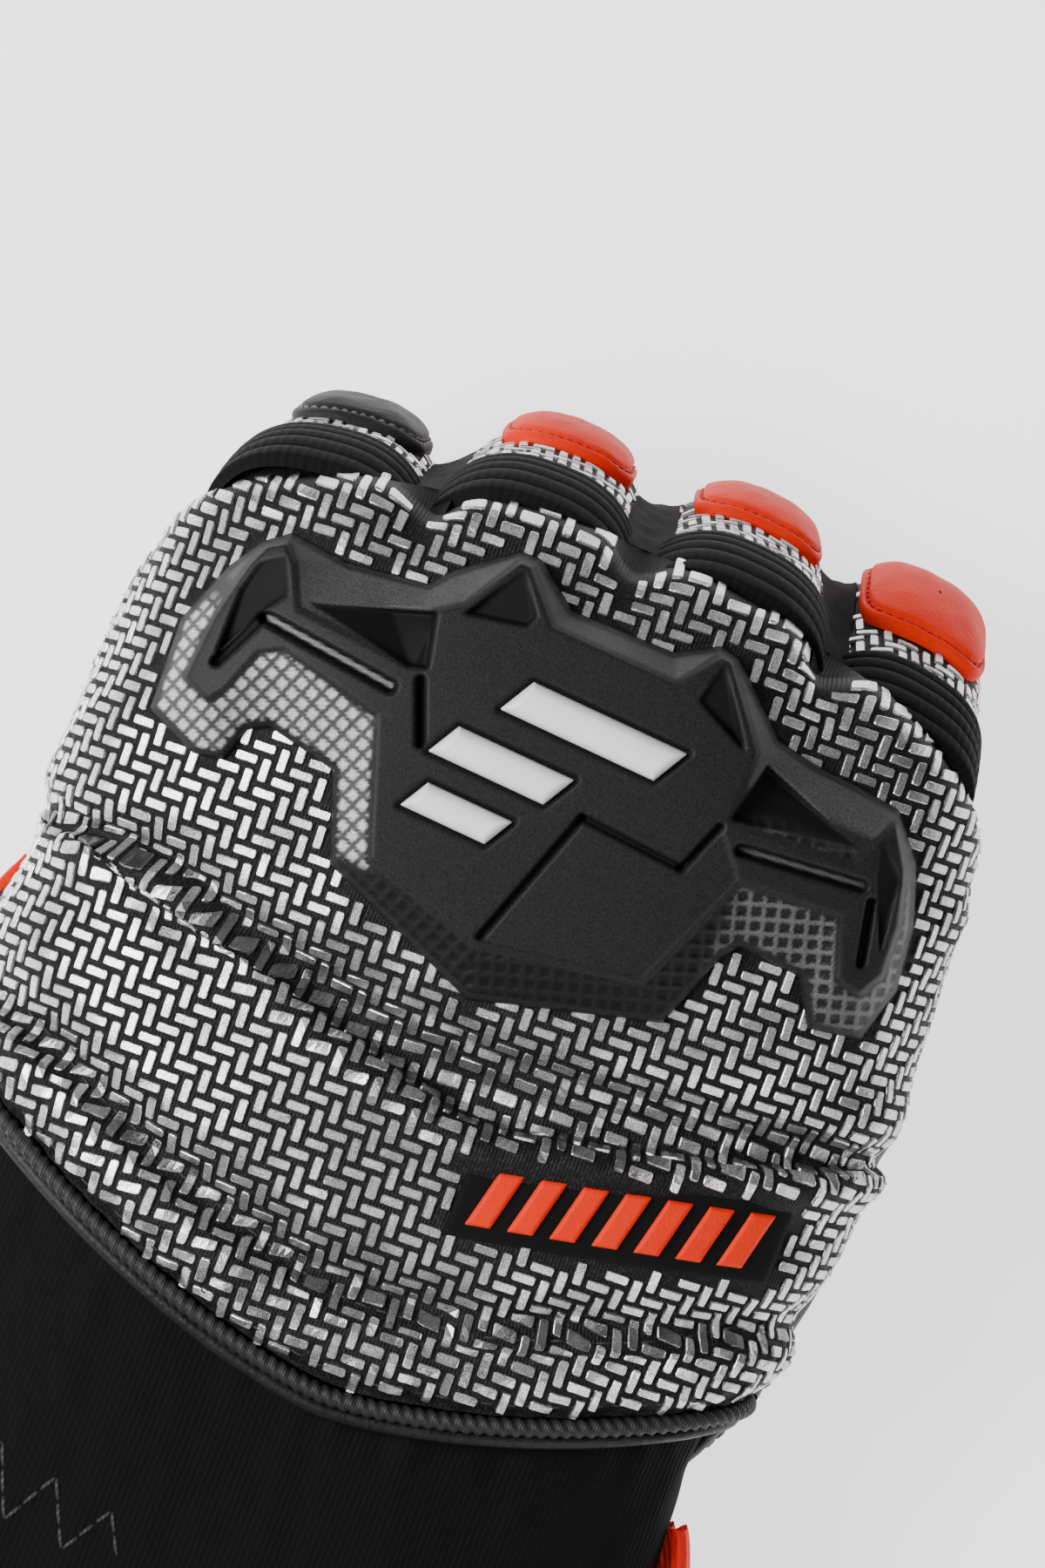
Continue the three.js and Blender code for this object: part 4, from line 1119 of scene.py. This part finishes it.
def finger_line(f, distance):
    """Middle line of a finger, walked from the knuckle."""
    walk = np.linspace(-16, finger_length(f) + 6, 900)
    slope = finger_slope(f, walk)
    step = walk[1] - walk[0]
    along = np.cumsum(np.cos(slope)) * step
    level = -np.cumsum(np.sin(slope)) * step
    along += f["along"] - np.interp(0, walk, along)
    level += f["level"] - np.interp(0, walk, level)
    share = np.clip(distance / finger_length(f), 0, 1)
    across = f["across"] * (1 - share) + f["tip_across"] * share
    return across, np.interp(distance, walk, along), np.interp(distance, walk, level)


def closing(radius, distance, length):
    """Radius of a finger or the thumb, which closes to a round tip at its length."""
    past = np.clip((distance - (length - radius)) / radius, 0, 0.999)
    return radius * np.sqrt(1 - past ** 2)


def to_tip(start, length, count):
    """Distances along a finger or the thumb, closer together over the last of its tip."""
    tip = length - 6
    return np.concatenate([np.linspace(start, tip, count), tip + 6 * np.sin(np.linspace(0.1, 1.56, 14))])


def squarish(radius, turn):
    """Offsets to the side and upwards on the section of a finger."""
    power = 2 / FINGER_POWER
    return radius * signed_power(np.sin(turn), power), radius * signed_power(np.cos(turn), power)


def finger_surface(f):
    """surface(arc, distance) of a finger; arc runs over its back towards the little finger."""
    length = finger_length(f)
    turn = np.linspace(0, math.pi, 721)
    run = run_along(*squarish(1, turn))

    def surface(arc, distance):
        share = np.clip(distance / length, 0, 1)
        taper = 1 - ROOT_TAPER * ease(-distance, 0, ROOT_REACH)
        radius = (f["radius"] * (1 - share) + f["tip_radius"] * share) * taper
        around = np.sign(arc) * np.interp(np.abs(arc) / f["radius"], run, turn)
        flat, tall = squarish(closing(radius, distance, length), around)
        roll = math.radians(f["roll"]) * (1 - share)
        side = flat * np.cos(roll) - tall * np.sin(roll)
        up = flat * np.sin(roll) + tall * np.cos(roll)
        across, along, level = finger_line(f, distance)
        slope = finger_slope(f, distance)
        return np.stack([across + side, along + up * np.sin(slope), level + up * np.cos(slope)], -1)

    return surface, run[-1] * f["radius"]


def finger_wrinkles(f, arc, distance, seed):
    """Creases over the bends, deeper on the front of the finger."""
    half = 1.6 * f["radius"]
    front = ease(np.abs(arc), half * 0.8, half * 1.4)
    creases = 0.16 * waves(arc, distance, 8, 4, 11, seed)
    for joint in (f["proximal"], f["proximal"] + f["middle"]):
        for shift in (-3.4, 0.2, 3.6):
            creases = creases - front * 1.1 * bump(distance, joint + shift, 0.9)
    return creases


def finger(name, seed):
    """Back and front skins, blocks, band, pad and stitches; the root is sunk to stay inside the hand."""
    f = FINGERS[name]
    surface, half = finger_surface(f)
    length = finger_length(f)
    seam = half * 0.5

    def cloth(arc, distance):
        dip = -0.5 * bump(np.abs(arc - lean(distance)), seam, 0.6)
        root = -ROOT_SINK * (1 - ease(distance, 1, 7))
        return raised(surface, arc, distance, finger_wrinkles(f, arc, distance, seed) + dip + root)

    def lean(distance):
        """How far the seams lean to the outside of the hand."""
        share = np.clip(distance / length, 0, 1)
        return math.radians(f["roll"]) * f["radius"] * (1 - share - SEAM_TURN)

    for side, start, end, count, looks, slot in (
        ("back", -seam, seam, 60, [CLOTH], "back_cloth"),
        ("front", seam, 2 * half - seam, 70, [LEATHER], "leather"),
    ):
        distance, arc = spread(to_tip(-7, length, 100), np.linspace(start, end, count))
        arc = arc + lean(distance)
        wrapped = (arc + half) % (2 * half) - half
        points = cloth(wrapped, distance)
        uv = (arc, distance)
        surface_piece(f"{name}_{side}_skin", points, looks, [f"finger_{name}_{side}"], uv=uv)
    middles, turns = pattern((-half, half), (-4, length))
    arc, distance = middles[:, 0], middles[:, 1]
    shown = (np.abs(arc - lean(distance)) < seam - 1.0) & (distance < length - 3)
    shown &= distance > BAND["end"] - 0.8
    pad_middle = f["proximal"] - 8
    from_pad = arc / (PAD["half_arc"] + 0.6), (distance - pad_middle) / (PAD["half_long"] + 0.6)
    shown &= from_pad[0] ** 4 + from_pad[1] ** 4 >= 1
    even = np.ones(shown.sum())
    # Painted shade: the finger blocks are evenly darkened to 0.8 in their tone.
    blocks(f"{name}_blocks", cloth, middles[shown], turns[shown], 0.25 * even, 0.8 * even)
    band(name, surface)
    pad(name, surface, pad_middle)
    places = np.linspace(-4, length - 9, int(length / 3))
    for side, key in ((-1, "a"), (1, "b")):
        line = side * (seam - 1.6) + lean(places)
        stitches(f"{name}_stitches_{key}", surface, line, places, BLACK_THREAD)


def gap_sheet_side(name, side):
    """Distances down a finger, and a line along its side, where a dark sheet across the gap begins or
    ends.
    """
    f = FINGERS[name]
    surface, half = finger_surface(f)
    distance = np.linspace(-3, f["proximal"] + 26, 70)
    return distance, raised(surface, np.full_like(distance, side * half * 0.27), distance, 0.4)


def gap_shade_sheet(first, second):
    """A sheet of black stretch cloth across the gap between two fingers that lie against each other: a
    dark sheet put in as painted shade for that gap.
    """
    distance, start = gap_sheet_side(first, 1)
    _, end = gap_sheet_side(second, -1)
    down, share = spread(distance, np.linspace(0, 1, 17))
    points = start[:, None] * (1 - share[..., None]) + end[:, None] * share[..., None]
    slope = finger_slope(FINGERS[first], down)
    outward_way = np.stack([0 * slope, np.sin(slope), np.cos(slope)], -1)
    wrinkles = 0.25 * waves(down, 6 * share, 7, 3, 9, 71) * np.sin(math.pi * share)
    sag = 0.9 * np.sin(math.pi * share) ** 0.7 + wrinkles
    uv = (4 * down, 20 * share)
    points = points - outward_way * sag[..., None]
    surface_piece(f"web_{first}_{second}", points, [ELASTIC], uv=uv)


def band(name, surface):
    """Ribbed elastic over the root of a finger."""
    start, end, half = BAND["start"], BAND["end"], BAND["half_arc"]
    distance, arc = grid(start, end, 81, -half, half, 60)
    ribs = 0.3 * np.abs(np.sin((distance - start) / (end - start) * math.pi * BAND["ribs"])) ** 0.6
    edge = ease(distance, start, start + 0.6) * ease(-distance, -end, 0.6 - end)
    tips = ease(half - np.abs(arc), 0, 1.5)
    height = -0.4 + (1.1 + ribs) * edge * tips
    points = raised(surface, arc, distance, height)
    uv = (arc, distance)
    surface_piece(f"{name}_elastic", points, [ELASTIC], [f"band_{name}"], uv=uv)


PAD = {"half_arc": 9.6, "half_long": 11.0, "power": 3.6, "rim": 0.9, "rise": 2.1, "stitching": 0.86}


def pad_place(radial, turn):
    """Arc and distance from the middle of a pad, at a share of its reach and a turn around it."""
    power = PAD["power"]
    squared = radial * (np.abs(np.cos(turn)) ** power + np.abs(np.sin(turn)) ** power) ** (-1 / power)
    return squared * np.cos(turn) * PAD["half_arc"], squared * np.sin(turn) * PAD["half_long"]


def pad(name, surface, middle):
    """Padded leather over the middle joint, with a rolled and stitched edge."""
    look, slot, line = ORANGE, "orange_pad", ORANGE_THREAD
    if name == "index":
        look, slot, line = DARK_PAD, "dark_pad", GREY_THREAD
    radial, turn = spread(np.linspace(0.02, 1, 46), circle(96))
    arc, distance = pad_place(radial, turn)
    distance = distance + middle
    swell = PAD["rise"] * np.clip(1 - radial ** 3.2, 0, 1) ** 0.8
    roll = PAD["rim"] * rounded(1 - radial, 0.07)
    channel = -0.55 * bump(radial, PAD["stitching"], 0.03)
    height = roll + swell + channel + 0.07 * waves(arc, distance, 6, 3, 8, 31)
    height = np.where(radial > 0.995, -0.4, height)
    points = raised(surface, arc, distance, height)
    made = surface_piece(f"{name}_padding", points, [look], [f"pad_{name}"], wrap=True)

    def top(p, q):
        return raised(surface, p, q, 1.55)

    arc, distance = pad_place(PAD["stitching"], circle(44))
    stitches(f"{name}_pad_stitches", top, arc, distance + middle, line, closed=True)


def stitches(name, surface, p, q, material, closed=False, thick=0.22, fill=0.68):
    """A row of short raised stitches between the places (p, q) of a surface."""
    if closed:
        p = np.append(p, p[0])
        q = np.append(q, q[0])
    start = raised(surface, p[:-1], q[:-1], 0.06)
    end = raised(surface, p[1:], q[1:], 0.06)
    lifted = raised(surface, p[:-1], q[:-1], 1.06) - start
    middle = (start + end) / 2
    length = np.linalg.norm(end - start, axis=-1, keepdims=True)
    forward = unit(end - start)
    side = unit(np.cross(forward, lifted))
    up = np.cross(side, forward)
    rings = ((-1, 0.3), (-0.7, 0.85), (0, 1), (0.7, 0.85), (1, 0.3))
    turns = circle(6)
    points = []
    for place, size in rings:
        for turn in turns:
            offset = side * math.cos(turn) * thick * size + up * math.sin(turn) * thick * size * 0.8
            sag = -up * 0.15 * place * place
            points.append(middle + forward * (length * fill / 2 * place) + offset + sag)
    one = grid_faces(len(rings), len(turns), True)
    faces = np.concatenate([one + index * len(points) for index in range(len(middle))])
    piece(name, np.stack(points, 1), faces, [material])


# Thumb: the way its outer side faces, the radius that arc lengths are measured on, its middle line
THUMB_OUT = np.array([-1, 0, -0.15])
THUMB_ROUND = 11.5
THUMB = table(
    "step across along level radius",
    (0, -30, -50, -7, 12.0),
    (1, -40, -53, -12, 12.0),
    (2, -47.5, -53, -19, 11.8),
    (3, -48.6, -46, -26, 11.6),
    (4, -45.5, -36.5, -31, 11.3),
    (5, -41.5, -27, -34.5, 10.9),
    (6, -38.5, -15, -37, 10.3),
)


def thumb_place(step):
    return np.stack(read(THUMB, "step", step, "across", "along", "level"), -1)


def thumb_surface():
    """surface(arc, distance) of the thumb, with arcs from the line on its outer side; and its length."""
    steps = np.linspace(0, THUMB["step"][-1], 400)
    run = np.concatenate([[0], np.cumsum(np.linalg.norm(np.diff(thumb_place(steps), axis=0), axis=1))])
    length = run[-1]

    def step_at(distance):
        return np.interp(np.clip(distance, 0, length), run, steps)

    def surface(arc, distance):
        step = step_at(distance)
        forward = unit(thumb_place(step_at(distance + 0.5)) - thumb_place(step_at(distance - 0.5)))
        out = np.broadcast_to(THUMB_OUT, forward.shape)
        out = unit(out - forward * np.sum(out * forward, axis=-1, keepdims=True))
        side = np.cross(forward, out)
        radius = smooth(THUMB, "step", step, "radius")
        flat, tall = squarish(closing(radius, distance, length), arc / THUMB_ROUND)
        return thumb_place(step) + side * flat[..., None] + out * tall[..., None]

    return surface, length


# Orange panel on the outer side: its middle and reach are shares of the thumb's length
TRIM = {"half_arc": 7.0, "half_long": 8.5, "middle": 0.49, "reach": 0.13}


def thumb():
    surface, length = thumb_surface()
    half = math.pi * THUMB_ROUND

    def skin(arc, distance):
        creases = 0.35 * waves(arc, distance, 8, 5, 15, 41)
        seam = -0.6 * bump(np.abs(np.abs(arc) - half / 2), 0, 0.7)
        return raised(surface, arc, distance, creases + seam)

    distance, arc = spread(to_tip(14, length, 70), np.linspace(-half, half, 97)[:-1])
    surface_piece("thumb_skin", skin(arc, distance), [LEATHER], ["thumb"], wrap=True)
    a, b = grid(-1, 1, 40, -1, 1, 30)
    edge = np.minimum((1 - np.abs(a)) * TRIM["half_long"], (1 - np.abs(b)) * TRIM["half_arc"])
    distance = length * (TRIM["middle"] + TRIM["reach"] * a)
    height = -0.3 + 1.5 * rounded(edge, 0.9) - 0.4 * bump(edge, 1.7, 0.35)
    points = raised(surface, b * TRIM["half_arc"], distance, height)
    surface_piece("thumb_orange_trim", points, [ORANGE], ["thumb_trim"])
    places = np.linspace(16, length - 9, 22)
    for side, key in ((-1, "a"), (1, "b")):
        line = np.full_like(places, side * (half / 2 - 1.6))
        stitches(f"thumb_stitches_{key}", surface, line, places, BLACK_THREAD)


# Cuff, with its hem, its lining and its quilted stitching
CUFF_LINING = -2.0
HEM_STITCHES = -128.4


def cuff_relief(arc, station):
    soft = 0.55 * waves(arc, station * 0.45, 7, 12, 36, 51)
    small = 0.16 * waves(arc, station * 0.6, 8, 4, 10, 52)
    gathers = 0.4 * waves(arc, 0 * arc, 9, 4, 9, 53) * bump(station, -79, 5)
    hem = 0.35 * ease(-station, 126.5, 127.5) * ease(station, -133.6, -132.8)
    return soft + small + gathers + hem - 0.4 * bump(station, -126.6, 0.5)


def cuff_skin(arc, station):
    return raised(cuff.point, arc, station, cuff_relief(arc, station))


def cuff_piece():
    """Knit outside, folded over the open end into a lining, as one piece."""
    stations = np.concatenate([np.linspace(-68, -133.6, 130), np.linspace(-133.8, -134, 3)])
    lining = np.concatenate([[-134.2, -134.1, -133.2], np.linspace(-131, -78, 40)])
    depth = np.concatenate([[-0.5, -1.4], np.full(41, CUFF_LINING)])[:, None]
    shares = np.linspace(-1, 1, 221)[:-1]
    columns = len(shares)
    arc = shares * cuff.girth(stations)[:, None]
    station = np.repeat(stations[:, None], columns, axis=1)
    arc_in = shares * cuff.girth(lining)[:, None]
    station_in = np.repeat(lining[:, None], columns, axis=1)
    inner = raised(cuff.point, arc_in, station_in, depth + 0.12 * waves(arc_in, station_in, 7, 5, 14, 55))
    points = np.concatenate([cuff_skin(arc, station), inner])
    uv = (np.concatenate([arc, arc_in]), np.concatenate([station, station_in]))
    faces = outward(points.reshape(-1, 3), grid_faces(len(points), columns, True))
    kinds = (np.arange(len(faces)) // columns) > len(stations)
    piece("cuff_knit", points, faces, [KNIT, LINING], ["cuff"], uv=uv, kinds=kinds)
    hem = np.linspace(-1, 1, 131)[:-1] * cuff.girth(HEM_STITCHES)
    stitches("hem_stitches", cuff_skin, hem, np.full_like(hem, HEM_STITCHES), BLACK_THREAD, closed=True)


# Zigzag rows of quilting on the cuff: corners by arc length and station
ZIGZAG = {"from": -34, "to": -8, "rows": (-107.5, -120), "pitch": 7.8, "height": 6.0}


def quilting():
    """Each slanted run of a zigzag is sewn in three stitches."""
    for index, row in enumerate(ZIGZAG["rows"]):
        corners = np.arange(ZIGZAG["from"], ZIGZAG["to"] + 0.1, ZIGZAG["pitch"] / 2)
        arc = []
        station = []
        for k in range(len(corners) - 1):
            share = np.linspace(0, 1, 4)[:-1]
            up = k % 2
            arc.extend(corners[k] + share * ZIGZAG["pitch"] / 2)
            station.extend(row + ZIGZAG["height"] * ((1 - share) * up + share * (1 - up)))
        arc = np.array(arc)
        station = np.array(station)
        stitches(f"quilting_{index + 1}", cuff_skin, arc, station, BLACK_THREAD, thick=0.3, fill=0.9)


# Piping and binding at the lower edge of the hand
def tube(name, line, radius, ring_points, material, nodes=(), ridges=0.0):
    """A round cord along a closed line, of two twisted strands where it has ridges."""
    ahead = unit(np.roll(line, -1, axis=0) - np.roll(line, 1, axis=0))
    side = unit(np.cross(ahead, np.array([0.0, 1.0, 0.0])))
    up = np.cross(side, ahead)
    turns = circle(ring_points)
    twist = np.arange(len(line))[:, None] * (2 * math.pi / 5) + 2 * turns
    swell = radius * (1 + ridges * np.cos(twist))[..., None]
    rings = line[:, None] + swell * (
        side[:, None] * np.cos(turns)[None, :, None] + up[:, None] * np.sin(turns)[None, :, None]
    )
    surface_piece(name, np.concatenate([rings, rings[:1]]), [material], nodes, wrap=True)


def edge_line(depth, drop):
    """A line around the edge of the hand, sunk into it and dropped towards the wrist."""
    girth = hand.girth(HAND_EDGE)
    arc = np.linspace(-girth, girth, 901)[:-1]
    return raised(hand.point, arc, np.full_like(arc, HAND_EDGE), -depth) - np.array([0, drop, 0])


def piping():
    tube("edge_piping", edge_line(1.1, 1.5), 1.1, 12, BRAID, ["piping"], ridges=0.15)
    tube("inner_piping", edge_line(2.2, 3.6), 1.0, 10, LEATHER)


def edge_stitches():
    for station, key in ((-74.2, "edge"), (-65.6, "seam")):
        arc = np.arange(-70, 70, 2.6)
        stitches(f"back_stitches_{key}", hand_point, arc, np.full_like(arc, station), BLACK_THREAD)


# Pull tab on the outer side of the cuff
TAB = {"start": -121, "length": 30, "middle": -106, "half_arc": 9.2, "bulge": 4.0, "thick": 0.8}


def pull_tab():
    share, across = grid(0, 1, 70, -1, 1, 22)
    station = TAB["start"] + TAB["length"] * share
    arc = 0.5 * cuff.girth(TAB["middle"]) + across * TAB["half_arc"]
    low = 0.5 + TAB["bulge"] * np.sin(math.pi * share) ** 0.8
    high = low + TAB["thick"] + 0.9 * ease(1 - np.abs(across), 0, 0.12)
    top = raised(cuff.point, arc, station, high)
    under = raised(cuff.point, arc, station, low)
    ring = np.concatenate([top, under[:, ::-1]], axis=1)
    uv = (np.concatenate([arc, arc], 1), np.concatenate([station, station], 1))
    surface_piece("pull_tab_webbing", ring, [WEBBING], ["pull_tab"], uv=uv, wrap=True)


# Floor, light and camera: each light's place in the frame of the hand, its size in metres and its power
FLOOR_REACH = 9.0
LIGHT_AIM = (0, -20, 20)
LIGHTS = (
    ("key", (-480, -70, 560), 0.42, 9.5),
    ("fill", (430, -330, 480), 0.4, 2.0),
    ("rim", (150, 560, 330), 0.4, 0.5),
)
CAMERA_PLACE = (-1.472, -0.484, 630.0)
CAMERA_ROLL = math.radians(22)
HALF_HEIGHT = 900 / (9.7 * 600)


def studio():
    mesh = bpy.data.meshes.new("floor")
    corners = [(x * FLOOR_REACH, y * FLOOR_REACH, 0) for x, y in ((-1, -1), (1, -1), (1, 1), (-1, 1))]
    mesh.from_pydata(corners, [], [(0, 1, 2, 3)])
    s = Shader("pale_floor", (0.9, 0.9, 0.9), 0.8, specular=0.1)
    put(s.shader, Emission_Color=(1, 1, 1, 1), Emission_Strength=1.6)
    mesh.materials.append(s.material)
    add_object("floor", mesh)
    world = bpy.data.worlds.new("studio")
    world.use_nodes = True
    put(world.node_tree.nodes["Background"], Color=(1, 1, 1, 1), Strength=0.1)
    bpy.context.scene.world = world
    aim = Vector(row_frame(LIGHT_AIM))
    for name, place, size, power in LIGHTS:
        light = bpy.data.lights.new(name, "AREA")
        light.size = size
        light.energy = power
        lamp = add_object(name, light)
        lamp.location = Vector(row_frame(place))
        lamp.rotation_mode = "QUATERNION"
        lamp.rotation_quaternion = (aim - lamp.location).to_track_quat("-Z", "Y")


def camera():
    data = bpy.data.cameras.new("camera")
    data.sensor_width = 36
    data.lens = 18 / HALF_HEIGHT
    data.clip_start = 0.01
    made = add_object("camera", data)
    tilt = Matrix.Rotation(PITCH, 4, "X") @ Matrix.Rotation(CAMERA_ROLL, 4, "Z")
    made.matrix_world = Matrix.Translation(Vector(row_frame(CAMERA_PLACE))) @ tilt
    bpy.context.scene.camera = made


camera()
back_cloth()
palm()
front_wall()
back_blocks()
guard()
stripes()
badge()
for order, finger_name in enumerate(FINGERS):
    finger(finger_name, 60 + order)
# Dark sheets across the gaps between the fingers, standing in for the shade there
for pair in (("index", "middle"), ("middle", "ring"), ("ring", "little")):
    gap_shade_sheet(*pair)
thumb()
cuff_piece()
quilting()
piping()
edge_stitches()
pull_tab()
studio()
